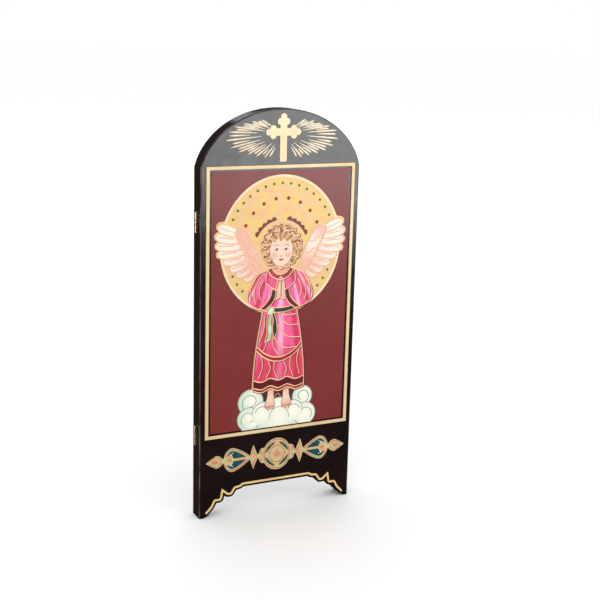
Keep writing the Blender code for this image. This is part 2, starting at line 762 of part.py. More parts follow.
def build():
    clear_scene()
    parts = new_collection("folding screen")
    cutters = new_collection("cutters")
    lacquer = new_material("black lacquer", (0.012, 0.010, 0.010), 0.15, 0.0)
    gilt = new_material("gilt brass", (0.85, 0.66, 0.40), 0.32, 1.0)
    pale_gilt = new_material("pale gilt", (0.92, 0.82, 0.58), 0.38, 1.0)
    maroon = new_material("maroon enamel", (0.27, 0.055, 0.05), 0.3, 0.0)
    brass = new_material("hinge brass", (0.55, 0.38, 0.18), 0.35, 1.0)

    screen = bpy.data.objects.new("screen", None)
    screen.location.x = CENTRE_SHIFT
    parts.objects.link(screen)
    fold_axis = bpy.data.objects.new("fold_axis", None)
    fold_axis.location.x = AXIS_X
    fold_axis.parent = screen
    parts.objects.link(fold_axis)

    panels = {"front": (-1, screen, 0.0), "rear": (1, fold_axis, AXIS_X)}
    for panel, (side, parent, offset) in panels.items():
        make_board(f"{panel}_board", side, parts, cutters, parent, lacquer, offset)
        make_frame(f"{panel}_frame", side, parts, parent, gilt, offset)
        make_ground(f"{panel}_ground", side, parts, parent, maroon, offset)
        make_edging(f"{panel}_edging", side, parts, parent, gilt, offset)
        for place_name, height in HINGE_HEIGHTS.items():
            make_leaf(f"{place_name}_hinge_{panel}_leaf", height, side, panel == "front", parts, cutters,
                      parent, brass, offset)
    make_icon(parts, screen, gilt)
    make_cross(parts, screen, pale_gilt)
    make_ornament(parts, screen, gilt)
    for place_name, height in HINGE_HEIGHTS.items():
        make_pin(f"{place_name}_hinge_pin", height, parts, screen, brass)
    for thing in parts.objects:
        if thing.type == "MESH":
            thing.data.shade_smooth()
            thing.data.set_sharp_from_angle(angle=math.radians(35))


build()
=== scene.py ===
import math
import random

import bmesh
import bpy
from mathutils import Euler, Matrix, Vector


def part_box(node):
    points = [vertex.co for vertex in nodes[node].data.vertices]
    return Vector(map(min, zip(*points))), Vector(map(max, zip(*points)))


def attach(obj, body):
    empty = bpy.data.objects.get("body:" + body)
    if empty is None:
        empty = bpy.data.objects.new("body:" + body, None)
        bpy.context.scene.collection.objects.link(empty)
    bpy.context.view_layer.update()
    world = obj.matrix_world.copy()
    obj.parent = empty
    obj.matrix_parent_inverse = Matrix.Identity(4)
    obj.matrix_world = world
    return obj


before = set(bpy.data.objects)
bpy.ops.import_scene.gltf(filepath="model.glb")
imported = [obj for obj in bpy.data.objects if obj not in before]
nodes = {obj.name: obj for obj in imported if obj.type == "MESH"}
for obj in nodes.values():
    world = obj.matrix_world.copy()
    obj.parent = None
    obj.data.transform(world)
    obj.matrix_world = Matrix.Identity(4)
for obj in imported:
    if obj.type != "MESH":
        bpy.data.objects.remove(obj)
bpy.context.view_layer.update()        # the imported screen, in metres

mm = 0.001
middleX = (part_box("front_frame")[0][0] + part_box("front_frame")[1][0]) / 2
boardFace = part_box("front_board")[0][1]
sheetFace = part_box("front_icon")[0][1]
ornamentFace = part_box("front_ornament")[0][1]
print("frame loaded:", len(nodes), "solids")

# Camera, light and floor

cameraSetup = {
    "place": (-0.142465, -0.31396, 0.15382),
    "turn": (76.298, -1.470, -25.388),    # degrees about X, Y and Z
    "lens": 66.92,
}

studio = {
    "floorSize": 14.0,
    "floorShade": (0.997, 0.997, 0.995),
    "floorGloss": (0.045, 0.037, 0.036),    # what the glossy faces see of the floor
    "backdropStrength": 1.0,
    "roomStrength": 0.995,
    "roomGloss": 0.055,                     # what the glossy faces see of the room
}

lamps = {
    "panel": {"place": (0.325, -0.43, 0.165), "size": (0.40, 0.33), "power": 2.38, "tint": (0.97, 1.0, 1.0),
              "target": (0.0, 0.0, 0.165), "glossOnly": True},      # mirrored by the arch
    "glint": {"place": (-0.095, -0.003, 0.06), "size": (0.012, 0.114), "power": 0.034, "tint": (0.95, 0.98, 1.0),
              "target": (0.0, -0.003, 0.06), "glossOnly": True},    # a bright line on the hinge knuckles
    "key": {"place": (-0.7, -0.9, 1.15), "size": (0.8, 0.8), "power": 2.2, "tint": (1.0, 0.98, 0.95),
            "target": (0.0, 0.0, 0.07), "glossOnly": False},
    "fill": {"place": (0.5, 1.0, 0.9), "size": (0.9, 0.9), "power": 2.0, "tint": (0.96, 0.98, 1.0),
             "target": (0.0, 0.0, 0.07), "glossOnly": False},
}


def ink(code):
    # Turns a colour such as e8c27a into the linear values that shaders use
    parts = [int(code[i:i + 2], 16) / 255 for i in (0, 2, 4)]
    return tuple(c / 12.92 if c <= 0.04045 else ((c + 0.055) / 1.055) ** 2.4 for c in parts) + (1.0,)


def addNode(tree, kind, x, y, **settings):
    made = tree.nodes.new(kind)
    made.location = (x, y)
    for key, value in settings.items():
        setattr(made, key, value)
    return made


def addSoftbox(name, look):
    lamp = bpy.data.lights.new(name, "AREA")
    lamp.shape = "RECTANGLE"
    lamp.size, lamp.size_y = look["size"]
    lamp.energy = look["power"]
    lamp.color = look["tint"]
    holder = bpy.data.objects.new(name, lamp)
    holder.location = look["place"]
    holder.rotation_euler = (Vector(look["target"]) - holder.location).to_track_quat("-Z", "Y").to_euler()
    holder.visible_camera = False
    holder.visible_diffuse = not look["glossOnly"]
    bpy.context.scene.collection.objects.link(holder)


def makeStudio():
    camera = bpy.data.objects.new("camera", bpy.data.cameras.new("camera"))
    camera.data.lens = cameraSetup["lens"]
    camera.data.clip_start = 0.01
    camera.location = cameraSetup["place"]
    camera.rotation_euler = Euler([math.radians(a) for a in cameraSetup["turn"]])
    bpy.context.scene.collection.objects.link(camera)
    bpy.context.scene.camera = camera
    bpy.context.scene.view_settings.view_transform = "Standard"

    for name, look in lamps.items():
        addSoftbox(name, look)

    world = bpy.data.worlds.new("studio")
    bpy.context.scene.world = world
    world.use_nodes = True
    tree = world.node_tree
    tree.nodes.clear()
    path = addNode(tree, "ShaderNodeLightPath", -700, 200)
    shades = []
    for level, strength in enumerate((studio["roomStrength"], studio["backdropStrength"], studio["roomGloss"])):
        shades.append(addNode(tree, "ShaderNodeBackground", -450, -150 * level))
        shades[-1].inputs["Color"].default_value = (1.0, 1.0, 1.0, 1.0)
        shades[-1].inputs["Strength"].default_value = strength
    current = shades[0].outputs[0]
    for level, ray in enumerate(("Is Camera Ray", "Is Glossy Ray"), 1):
        mix = addNode(tree, "ShaderNodeMixShader", -300 + 200 * level, 0)
        tree.links.new(path.outputs[ray], mix.inputs[0])
        tree.links.new(current, mix.inputs[1])
        tree.links.new(shades[level].outputs[0], mix.inputs[2])
        current = mix.outputs[0]
    out = addNode(tree, "ShaderNodeOutputWorld", 300, 0)
    tree.links.new(current, out.inputs[0])

    half = studio["floorSize"] / 2
    work = bmesh.new()
    bmesh.ops.create_grid(work, x_segments=1, y_segments=1, size=half)
    mesh = bpy.data.meshes.new("floor")
    work.to_mesh(mesh)
    work.free()
    floor = bpy.data.objects.new("floor", mesh)
    bpy.context.scene.collection.objects.link(floor)
    finish = bpy.data.materials.new("pale floor")
    finish.use_nodes = True
    tree = finish.node_tree
    tree.nodes.clear()
    path = addNode(tree, "ShaderNodeLightPath", -600, 200)
    seen = addNode(tree, "ShaderNodeBsdfDiffuse", -300, 100)
    seen.inputs["Color"].default_value = (*studio["floorShade"], 1.0)
    bounce = addNode(tree, "ShaderNodeBsdfDiffuse", -300, -100)
    bounce.inputs["Color"].default_value = (*studio["floorGloss"], 1.0)
    mix = addNode(tree, "ShaderNodeMixShader", 0, 0)
    out = addNode(tree, "ShaderNodeOutputMaterial", 200, 0)
    tree.links.new(path.outputs["Is Glossy Ray"], mix.inputs[0])
    tree.links.new(seen.outputs[0], mix.inputs[1])
    tree.links.new(bounce.outputs[0], mix.inputs[2])
    tree.links.new(mix.outputs[0], out.inputs[0])
    mesh.materials.append(finish)


makeStudio()
print("studio ready")

# Shared effects


def newGroup(name, inputs, output):
    # A tuple among the inputs is a colour, the others are plain numbers
    group = bpy.data.node_groups.new(name, "ShaderNodeTree")
    for label, value in inputs.items():
        kind = "NodeSocketColor" if isinstance(value, tuple) else "NodeSocketFloat"
        group.interface.new_socket(label, in_out="INPUT", socket_type=kind).default_value = value
    kind = "NodeSocketColor" if output == "Color" else "NodeSocketFloat"
    group.interface.new_socket(output, in_out="OUTPUT", socket_type=kind)
    return group, addNode(group, "NodeGroupInput", -1200, 0), addNode(group, "NodeGroupOutput", 900, 0)


def mathNode(tree, operation, x, y, first=None, second=None, third=None):
    made = addNode(tree, "ShaderNodeMath", x, y, operation=operation)
    for slot, value in enumerate((first, second, third)):
        if isinstance(value, (int, float)):
            made.inputs[slot].default_value = value
        elif value is not None:
            tree.links.new(value, made.inputs[slot])
    return made.outputs[0]


def rangeNode(tree, value, start, end, low, high, x, y, smooth=False):
    made = addNode(tree, "ShaderNodeMapRange", x, y, interpolation_type="SMOOTHSTEP" if smooth else "LINEAR")
    tree.links.new(value, made.inputs["Value"])
    for label, amount in (("From Min", start), ("From Max", end), ("To Min", low), ("To Max", high)):
        if isinstance(amount, (int, float)):
            made.inputs[label].default_value = amount
        else:
            tree.links.new(amount, made.inputs[label])
    return made.outputs["Result"]


def mixNode(tree, factor, first, second, x, y):
    made = addNode(tree, "ShaderNodeMix", x, y, data_type="RGBA")
    for socket, value in ((made.inputs[0], factor), (made.inputs[6], first), (made.inputs[7], second)):
        if isinstance(value, (int, float, tuple)):
            socket.default_value = value
        else:
            tree.links.new(value, socket)
    return made.outputs[2]


def buildUnevenness():
    # Cloudy variation between two values
    group, start, end = newGroup("unevenness", {"Scale": 400.0, "Detail": 3.0, "Low": 0.0, "High": 1.0}, "Value")
    place = addNode(group, "ShaderNodeTexCoord", -900, -100)
    cloud = addNode(group, "ShaderNodeTexNoise", -600, 0)
    group.links.new(place.outputs["Object"], cloud.inputs["Vector"])
    group.links.new(start.outputs["Scale"], cloud.inputs["Scale"])
    group.links.new(start.outputs["Detail"], cloud.inputs["Detail"])
    value = rangeNode(group, cloud.outputs["Fac"], 0.3, 0.7, start.outputs["Low"], start.outputs["High"], -200, 0)
    group.links.new(value, end.inputs["Value"])
    return group


def buildRubbedEdges():
    # A broken mask on the eased edges between the flat faces and the sides. On the metals it marks rubbed wear; on
    # the lacquer it is partly rubbed wear, partly a painted highlight line along the arris
    group, start, end = newGroup("eased edge mask", {"Amount": 0.5, "Patch Scale": 300.0}, "Mask")
    place = addNode(group, "ShaderNodeTexCoord", -1200, -300)
    parts = addNode(group, "ShaderNodeSeparateXYZ", -1000, -300)
    group.links.new(place.outputs["Normal"], parts.inputs[0])
    facing = mathNode(group, "ABSOLUTE", -800, -300, parts.outputs["Y"])
    rise = rangeNode(group, facing, 0.12, 0.35, 0.0, 1.0, -600, -200)
    fall = rangeNode(group, facing, 0.88, 0.99, 1.0, 0.0, -600, -450)
    band = mathNode(group, "MULTIPLY", -400, -300, rise, fall)
    cloud = addNode(group, "ShaderNodeTexNoise", -800, 100)
    cloud.inputs["Detail"].default_value = 4.0
    group.links.new(place.outputs["Object"], cloud.inputs["Vector"])
    group.links.new(start.outputs["Patch Scale"], cloud.inputs["Scale"])
    patches = rangeNode(group, cloud.outputs["Fac"], 0.38, 0.62, 0.25, 1.0, -400, 100)
    worn = mathNode(group, "MULTIPLY", -100, 0, band, patches)
    group.links.new(mathNode(group, "MULTIPLY", 200, 0, worn, start.outputs["Amount"]), end.inputs["Mask"])
    return group


def buildSoftSpot():
    # A soft round mask at a place measured from the piece's own origin, across and up
    group, start, end = newGroup("soft spot", {"Across": 0.0, "Up": 0.0, "Radius": 0.001}, "Mask")
    place = addNode(group, "ShaderNodeTexCoord", -1200, -300)
    parts = addNode(group, "ShaderNodeSeparateXYZ", -1000, -300)
    group.links.new(place.outputs["Object"], parts.inputs[0])
    across = mathNode(group, "SUBTRACT", -800, -200, parts.outputs["X"], start.outputs["Across"])
    up = mathNode(group, "SUBTRACT", -800, -400, parts.outputs["Z"], start.outputs["Up"])
    squareA = mathNode(group, "MULTIPLY", -600, -200, across, across)
    squareB = mathNode(group, "MULTIPLY", -600, -400, up, up)
    length = mathNode(group, "SQRT", -200, -300, mathNode(group, "ADD", -400, -300, squareA, squareB))
    share = mathNode(group, "DIVIDE", 0, -200, length, start.outputs["Radius"])
    group.links.new(rangeNode(group, share, 0.0, 1.0, 1.0, 0.0, 300, 0, True), end.inputs["Mask"])
    return group


def buildFoldShading():
    # Painted folds that spread from a point above the piece's origin and darken toward the foot
    group, start, end = newGroup("fold shading", {
        "Dark": (0.4, 0.0, 0.1, 1.0), "Middle": (0.8, 0.1, 0.3, 1.0), "Light": (1.0, 0.5, 0.7, 1.0),
        "Folds": 30.0, "Spread": 0.03, "Turn": 0.0, "Wobble": 2.0, "Dark From": -1.0}, "Color")
    place = addNode(group, "ShaderNodeTexCoord", -1500, -300)
    turn = addNode(group, "ShaderNodeVectorRotate", -1300, -300, rotation_type="Y_AXIS")
    group.links.new(place.outputs["Object"], turn.inputs["Vector"])
    group.links.new(start.outputs["Turn"], turn.inputs["Angle"])
    parts = addNode(group, "ShaderNodeSeparateXYZ", -1100, -300)
    group.links.new(turn.outputs[0], parts.inputs[0])
    drop = mathNode(group, "SUBTRACT", -900, -400, start.outputs["Spread"], parts.outputs["Z"])
    angle = mathNode(group, "ARCTAN2", -700, -300, parts.outputs["X"], drop)
    cloud = addNode(group, "ShaderNodeTexNoise", -1000, 200)
    cloud.inputs["Scale"].default_value = 130.0
    cloud.inputs["Detail"].default_value = 1.0
    group.links.new(place.outputs["Object"], cloud.inputs["Vector"])
    shift = mathNode(group, "MULTIPLY", -700, 100, cloud.outputs["Fac"], start.outputs["Wobble"])
    turns = mathNode(group, "MULTIPLY", -500, -300, angle, start.outputs["Folds"])
    broad = mathNode(group, "SINE", -100, -50, mathNode(group, "ADD", -300, -50, turns, shift))
    finer = mathNode(group, "SINE", -100, -350, mathNode(group, "MULTIPLY_ADD", -300, -350, turns, 2.3, 1.7))
    wave = mathNode(group, "ADD", 150, -150, mathNode(group, "MULTIPLY", 0, -50, broad, 0.66),
                    mathNode(group, "MULTIPLY", 0, -350, finer, 0.34))
    low = rangeNode(group, wave, -0.85, -0.05, 0.0, 1.0, 300, -250, True)
    high = rangeNode(group, wave, 0.25, 0.95, 0.0, 0.9, 300, 50, True)
    shade = mixNode(group, low, start.outputs["Dark"], start.outputs["Middle"], 500, -250)
    lit = mixNode(group, high, shade, start.outputs["Light"], 650, 0)
    farther = mathNode(group, "SUBTRACT", 300, -500, start.outputs["Dark From"], 0.006)
    foot = rangeNode(group, parts.outputs["Z"], farther, start.outputs["Dark From"], 0.55, 0.0, 500, -500, True)
    group.links.new(mixNode(group, foot, lit, start.outputs["Dark"], 800, 0), end.inputs["Color"])
    return group


unevenness = buildUnevenness()
easedEdgeMask = buildRubbedEdges()
softSpot = buildSoftSpot()
foldShading = buildFoldShading()


def useGroup(tree, group, x, y, **values):
    made = addNode(tree, "ShaderNodeGroup", x, y, node_tree=group)
    for label, value in values.items():
        made.inputs[label].default_value = value
    return made.outputs[0]


def newFinish(name, roughness, metallic=0.0, specular=0.5):
    finish = bpy.data.materials.new(name)
    finish.use_nodes = True
    tree = finish.node_tree
    shader = tree.nodes["Principled BSDF"]
    shader.inputs["Roughness"].default_value = roughness
    shader.inputs["Metallic"].default_value = metallic
    shader.inputs["Specular IOR Level"].default_value = specular
    return finish, tree, shader


def addBump(tree, shader, height, strength, distance):
    bump = addNode(tree, "ShaderNodeBump", -200, -400)
    bump.inputs["Strength"].default_value = strength
    bump.inputs["Distance"].default_value = distance
    tree.links.new(height, bump.inputs["Height"])
    tree.links.new(bump.outputs[0], shader.inputs["Normal"])


# Finishes

colours = {
    "lacquer": "1f1211", "lacquerDeep": "160b0c", "lacquerEdgeWearAndSheen": "9c8578",
    "gilt": "ecd4a6", "giltDeep": "e3c08c", "giltWorn": "a97c4c",
    "edging": "f6da94", "edgingDeep": "edc278",
    "paleGilt": "ebdab2", "paleGiltDeep": "e4cda0",
    "discYellow": "edc66b", "discPeach": "edb37b", "discPale": "e5bf8b",
    "maroon": "833331", "maroonDeep": "7a2d2c",
    "brass": "b8a584", "brassDeep": "554633",
    "tan": "e4be88", "tanOrange": "e6a278", "tanGreen": "d2cb96",
}

lacquerLook = {"roughness": (0.12, 0.20), "peel": 0.03, "edgeMask": 0.45}
giltLook = {"roughness": (0.36, 0.46), "metallic": 0.12, "grain": 0.2}


def lacquerFinish():
    finish, tree, shader = newFinish("black lacquer", 0.2)
    shade = useGroup(tree, unevenness, -800, 300, Scale=60.0, Low=0.0, High=1.0)
    base = mixNode(tree, shade, ink(colours["lacquerDeep"]), ink(colours["lacquer"]), -500, 300)
    # pale colour on the eased edges: partly rubbed lacquer, partly a painted highlight line along the arris
    edgeMask = useGroup(tree, easedEdgeMask, -800, 0, **{"Amount": lacquerLook["edgeMask"], "Patch Scale": 160.0})
    tree.links.new(mixNode(tree, edgeMask, base, ink(colours["lacquerEdgeWearAndSheen"]), -250, 200), shader.inputs["Base Color"])
    low, high = lacquerLook["roughness"]
    rough = useGroup(tree, unevenness, -800, -250, Scale=180.0, Detail=5.0, Low=low, High=high)
    tree.links.new(mathNode(tree, "MAXIMUM", -400, -150, rough, edgeMask), shader.inputs["Roughness"])
    peel = useGroup(tree, unevenness, -800, -500, Scale=520.0, Detail=2.0)
    addBump(tree, shader, peel, lacquerLook["peel"], 0.0002)
    return finish


def metalFinish(name, main, deep, worn, roughness, metallic, grain):
    finish, tree, shader = newFinish(name, 0.35, metallic)
    tone = useGroup(tree, unevenness, -900, 350, Scale=110.0, Detail=4.0)
    base = mixNode(tree, tone, ink(deep), ink(main), -600, 350)
    edgeMask = useGroup(tree, easedEdgeMask, -900, 100, **{"Amount": 0.5, "Patch Scale": 500.0})
    tree.links.new(mixNode(tree, edgeMask, base, ink(worn), -350, 250), shader.inputs["Base Color"])
    rough = useGroup(tree, unevenness, -900, -150, Scale=900.0, Detail=3.0, Low=roughness[0], High=roughness[1])
    tree.links.new(rough, shader.inputs["Roughness"])
    fine = useGroup(tree, unevenness, -900, -400, Scale=2600.0, Detail=2.0)
    addBump(tree, shader, fine, grain, 0.00003)
    return finish


def enamelFinish(name, main, deep, roughness=0.22, scale=260.0, specular=0.5):
    # Opaque enamel with slightly uneven colour and gloss
    finish, tree, shader = newFinish(name, roughness, 0.0, specular)
    tone = useGroup(tree, unevenness, -800, 300, Scale=scale, Detail=3.0)
    tree.links.new(mixNode(tree, tone, ink(deep), ink(main), -400, 300), shader.inputs["Base Color"])
    rough = useGroup(tree, unevenness, -800, 0, Scale=160.0, Low=roughness * 0.92, High=roughness * 1.08)
    tree.links.new(rough, shader.inputs["Roughness"])
    return finish


def robeFinish(name, tones, folds, spread, turn=0.0, wobble=2.0, darkFrom=-1.0):
    # Painted folds in three tones, given from dark to light
    finish, tree, shader = newFinish(name, 0.24)
    dark, middle, light = [ink(tone) for tone in tones]
    shade = useGroup(tree, foldShading, -600, 300, **{
        "Dark": dark, "Middle": middle, "Light": light, "Folds": folds, "Spread": spread,
        "Turn": turn, "Wobble": wobble, "Dark From": darkFrom})
    tree.links.new(shade, shader.inputs["Base Color"])
    rough = useGroup(tree, unevenness, -800, 0, Scale=700.0, Low=0.2, High=0.32)
    tree.links.new(rough, shader.inputs["Roughness"])
    return finish


def spotFinish(name, edge, middle, spots, roughness=0.28):
    # A base colour with soft spots of another colour: each spot is across, up and radius in mm
    finish, tree, shader = newFinish(name, roughness)
    total = None
    for index, (across, up, radius) in enumerate(spots):
        spot = useGroup(tree, softSpot, -900, 300 - 150 * index, Across=across * mm, Up=up * mm, Radius=radius * mm)
        total = spot if total is None else mathNode(tree, "MAXIMUM", -600, 300 - 150 * index, total, spot)
    tree.links.new(mixNode(tree, total, ink(edge), ink(middle), -300, 300), shader.inputs["Base Color"])
    rough = useGroup(tree, unevenness, -800, -500, Scale=700.0, Low=roughness * 0.85, High=roughness * 1.2)
    tree.links.new(rough, shader.inputs["Roughness"])
    return finish


def tintedFinish(name, main, tints, roughness, metallic, scale):
    # A gilt tone with soft patches of other tints
    finish, tree, shader = newFinish(name, 0.4, metallic)
    current = ink(main)
    for index, tint in enumerate(tints):
        patch = useGroup(tree, unevenness, -1100, 500 - 200 * index, Scale=scale * (1 + 0.37 * index), Detail=3.0,
                         Low=-0.5, High=1.2)
        current = mixNode(tree, patch, current, ink(tint), -800 + 200 * index, 400)
    tree.links.new(current, shader.inputs["Base Color"])
    rough = useGroup(tree, unevenness, -900, -300, Scale=900.0, Low=roughness[0], High=roughness[1])
    tree.links.new(rough, shader.inputs["Roughness"])
    fine = useGroup(tree, unevenness, -900, -500, Scale=2400.0, Detail=2.0)
    addBump(tree, shader, fine, 0.25, 0.00003)
    return finish


lacquer = lacquerFinish()
gilt = metalFinish("gilt brass", colours["gilt"], colours["giltDeep"], colours["giltWorn"],
                   giltLook["roughness"], giltLook["metallic"], giltLook["grain"])
paleGilt = metalFinish("pale gilt", colours["paleGilt"], colours["paleGiltDeep"], colours["giltDeep"],
                       (0.36, 0.48), 0.15, 0.2)
edgingGilt = metalFinish("edging gilt", colours["edging"], colours["edgingDeep"], colours["giltWorn"],
                         giltLook["roughness"], giltLook["metallic"], giltLook["grain"])
discGilt = tintedFinish("stippled gilt", colours["discYellow"], [colours["discPeach"], colours["discPale"]],
                        (0.38, 0.5), 0.1, 300.0)
tintedGilt = tintedFinish("tinted gilt", colours["tan"], [colours["tanOrange"], colours["tanGreen"]],
                          (0.36, 0.48), 0.2, 420.0)
maroon = enamelFinish("maroon enamel", colours["maroon"], colours["maroonDeep"], 0.24, 60.0, 0.31)
hingeBrass = metalFinish("hinge brass", colours["brass"], colours["brassDeep"], colours["giltDeep"],
                         (0.16, 0.32), 0.86, 0.3)

dressed = {
    "front_board": lacquer, "rear_board": lacquer, "front_frame": gilt, "rear_frame": gilt,
    "front_edging": edgingGilt, "rear_edging": edgingGilt, "front_ornament": tintedGilt, "front_icon": discGilt,
    "front_cross": paleGilt, "front_ground": maroon, "rear_ground": maroon,
}
for name, node in nodes.items():
    finish = dressed.get(name, hingeBrass)
    if node.data.materials:
        node.data.materials[0] = finish
    else:
        node.data.materials.append(finish)
print("finishes on", len(nodes), "solids")

# Drawing helpers: places are in mm, across from the middle of the board and up from the floor


def flow(points, closed=False, steps=6):
    # A smooth line through the points. A third value marks a sharp corner
    count = len(points)
    spots = [Vector(p[:2]) for p in points]
    sharp = [len(p) > 2 for p in points]
    last = count if closed else count - 1
    result = []
    for i in range(last):
        a, b = spots[i], spots[(i + 1) % count]
        startsHere = sharp[i] or (not closed and i == 0)
        endsHere = sharp[(i + 1) % count] or (not closed and i == last - 1)
        leave = b - a if startsHere else (b - spots[i - 1]) / 2
        arrive = b - a if endsHere else (spots[(i + 2) % count] - a) / 2
        for s in range(steps):
            t = s / steps
            result.append(a * (2 * t ** 3 - 3 * t ** 2 + 1) + leave * (t ** 3 - 2 * t ** 2 + t)
                          + b * (3 * t ** 2 - 2 * t ** 3) + arrive * (t ** 3 - t ** 2))
    if not closed:
        result.append(spots[-1])
    return [tuple(p) for p in result]


def oval(across, up, halfWidth, halfHeight, start=0.0, end=360.0, steps=32):
    turns = [math.radians(start + (end - start) * i / steps) for i in range(steps + 1)]
    if end - start == 360:
        turns.pop()
    return [(across + halfWidth * math.cos(t), up + halfHeight * math.sin(t)) for t in turns]


def mirror(points):
    return [(-p[0], *p[1:]) for p in reversed(points)]


bothSides = ((1, "right"), (-1, "left"))


def onSide(side, points):
    # What is drawn for the right side, mirrored for the left
    return points if side > 0 else mirror(points)


def asPiece(curve, name, face, depth, squash, finish, centre, sharpFrom):
    # A curve drawn in mm becomes a mesh piece in metres, standing on the given face
    holder = bpy.data.objects.new(name, curve)
    bpy.context.scene.collection.objects.link(holder)
    bpy.context.view_layer.update()
    mesh = bpy.data.meshes.new_from_object(holder.evaluated_get(bpy.context.evaluated_depsgraph_get()))
    bpy.data.objects.remove(holder)
    bpy.data.curves.remove(curve)
    work = bmesh.new()
    work.from_mesh(mesh)
    bmesh.ops.remove_doubles(work, verts=work.verts, dist=0.0005)
    for vert in work.verts:
        across, up, out = vert.co
        vert.co = ((across - centre[0]) * mm, -out * squash * mm, (up - centre[1]) * mm)
    work.to_mesh(mesh)
    work.free()
    mesh.name = name
    mesh.shade_smooth()
    mesh.set_sharp_from_angle(angle=math.radians(sharpFrom))
    mesh.materials.clear()
    mesh.materials.append(finish)
    piece = bpy.data.objects.new(name, mesh)
    piece.location = (middleX + centre[0] * mm, face - depth * mm, centre[1] * mm)
    bpy.context.scene.collection.objects.link(piece)
    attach(piece, "front_panel")


def newCurve(name, loops, closed, weights=None):
    curve = bpy.data.curves.new(name, "CURVE")
    for index, loop in enumerate(loops):
        spline = curve.splines.new("POLY")
        spline.points.add(len(loop) - 1)
        for i, (point, spot) in enumerate(zip(spline.points, loop)):
            point.co = (spot[0], spot[1], 0.0, 1.0)
            point.radius = weights[index][i] if weights else 1.0
        spline.use_cyclic_u = closed[index] if isinstance(closed, list) else closed
    return curve


def flatPiece(name, loops, face, span, finish, centre=(0.0, 0.0), rounding=0.008):
    # A thin plate with softened edges; span is where it starts and ends in front of the face
    curve = newCurve(name, loops, True)
    curve.dimensions = "2D"
    curve.fill_mode = "BOTH"
    curve.extrude = (span[1] - span[0]) / 2 - rounding
    curve.bevel_depth = rounding
    curve.bevel_resolution = 1
    curve.offset = -rounding
    asPiece(curve, name, face, (span[0] + span[1]) / 2, 1.0, finish, centre, 12)


def linePiece(name, lines, face, rise, finish, closed=False, weights=None, width=0.36,
              centre=(0.0, 0.0)):
    # Flattened round strips; weights thin them out along the way
    curve = newCurve(name, lines, closed, weights)
    curve.dimensions = "3D"
    curve.bevel_depth = width / 2
    curve.bevel_resolution = 2
    curve.use_fill_caps = True
    asPiece(curve, name, face, 0.0, rise / (width / 2), finish, centre, 45)


# Rays behind the cross

rayLook = {
    "middleUp": 121.5, "hubUp": 122.4, "reach": 19.2, "upperReach": 5.7, "lowerReach": 6.7, "from": -80, "to": 71,
    "spacing": 1.44, "width": 0.6, "rise": 0.05, "seed": 7,
    "colour": "e6dabd", "warm": "d8bd9c", "cool": "c2c0b0",
}


def rayFinish():
    finish, tree, shader = newFinish("ray gilt", 0.4, 0.3)
    cloud = useGroup(tree, unevenness, -900, 400, Scale=420.0, Detail=1.0)
    warmth = useGroup(tree, unevenness, -900, 150, Scale=260.0, Detail=1.0)
    base = mixNode(tree, cloud, ink(rayLook["cool"]), ink(rayLook["colour"]), -600, 400)
    tree.links.new(mixNode(tree, warmth, base, ink(rayLook["warm"]), -300, 300), shader.inputs["Base Color"])
    rough = useGroup(tree, unevenness, -900, -100, Scale=1500.0, Low=0.3, High=0.5)
    tree.links.new(rough, shader.inputs["Roughness"])
    return finish


def rayTips():
    # Even steps along an oval that is flatter above than below
    tips, walked, before = [], 0.0, None
    for i in range(501):
        turn = math.radians(rayLook["from"] + (rayLook["to"] - rayLook["from"]) * i / 500)
        tall = rayLook["upperReach"] if turn > 0 else rayLook["lowerReach"]
        tip = Vector((rayLook["reach"] * math.cos(turn), rayLook["middleUp"] + tall * math.sin(turn)))
        walked += (tip - before).length if before else 0.0
        before = tip
        if walked >= len(tips) * rayLook["spacing"]:
            tips.append(tip)
    return tips


def makeRays():
    dice = random.Random(rayLook["seed"])
    hub = Vector((0.0, rayLook["hubUp"]))
    lines, weights = [], []
    for side in (-1, 1):
        for i, tip in enumerate(rayTips()):
            outward = (1.0, 0.93, 0.98, 0.90)[i % 4] + dice.uniform(-0.02, 0.02)
            inner = (0.40, 0.56, 0.46, 0.62)[i % 4] + dice.uniform(-0.03, 0.03)
            line, weight = [], []
            for step in range(9):
                share = step / 8
                spot = hub + (tip - hub) * (inner + (outward - inner) * share)
                line.append((side * spot.x, spot.y))
                weight.append((0.16 + 0.84 * math.sin(math.pi * share * 0.68)) if step < 8 else 0.3)
            if abs(line[0][0]) > 1.9:
                lines.append(line)
                weights.append(weight)
    linePiece("front_rays", lines, boardFace, rayLook["rise"], rayFinish(), weights=weights,
              width=rayLook["width"])
    return len(lines)


print("rays:", makeRays(), "strokes")

# Nails that hold the hinge leaves, seen when the screen is open

nails = {"across": (1.1, 1.1, 3.2), "up": (-2.1, 2.1, 0.0), "radius": 0.42, "face": 0.05, "proud": 0.035,
         "sunk": 0.1, "tone": "e2cfa4", "deep": "c4ab78"}


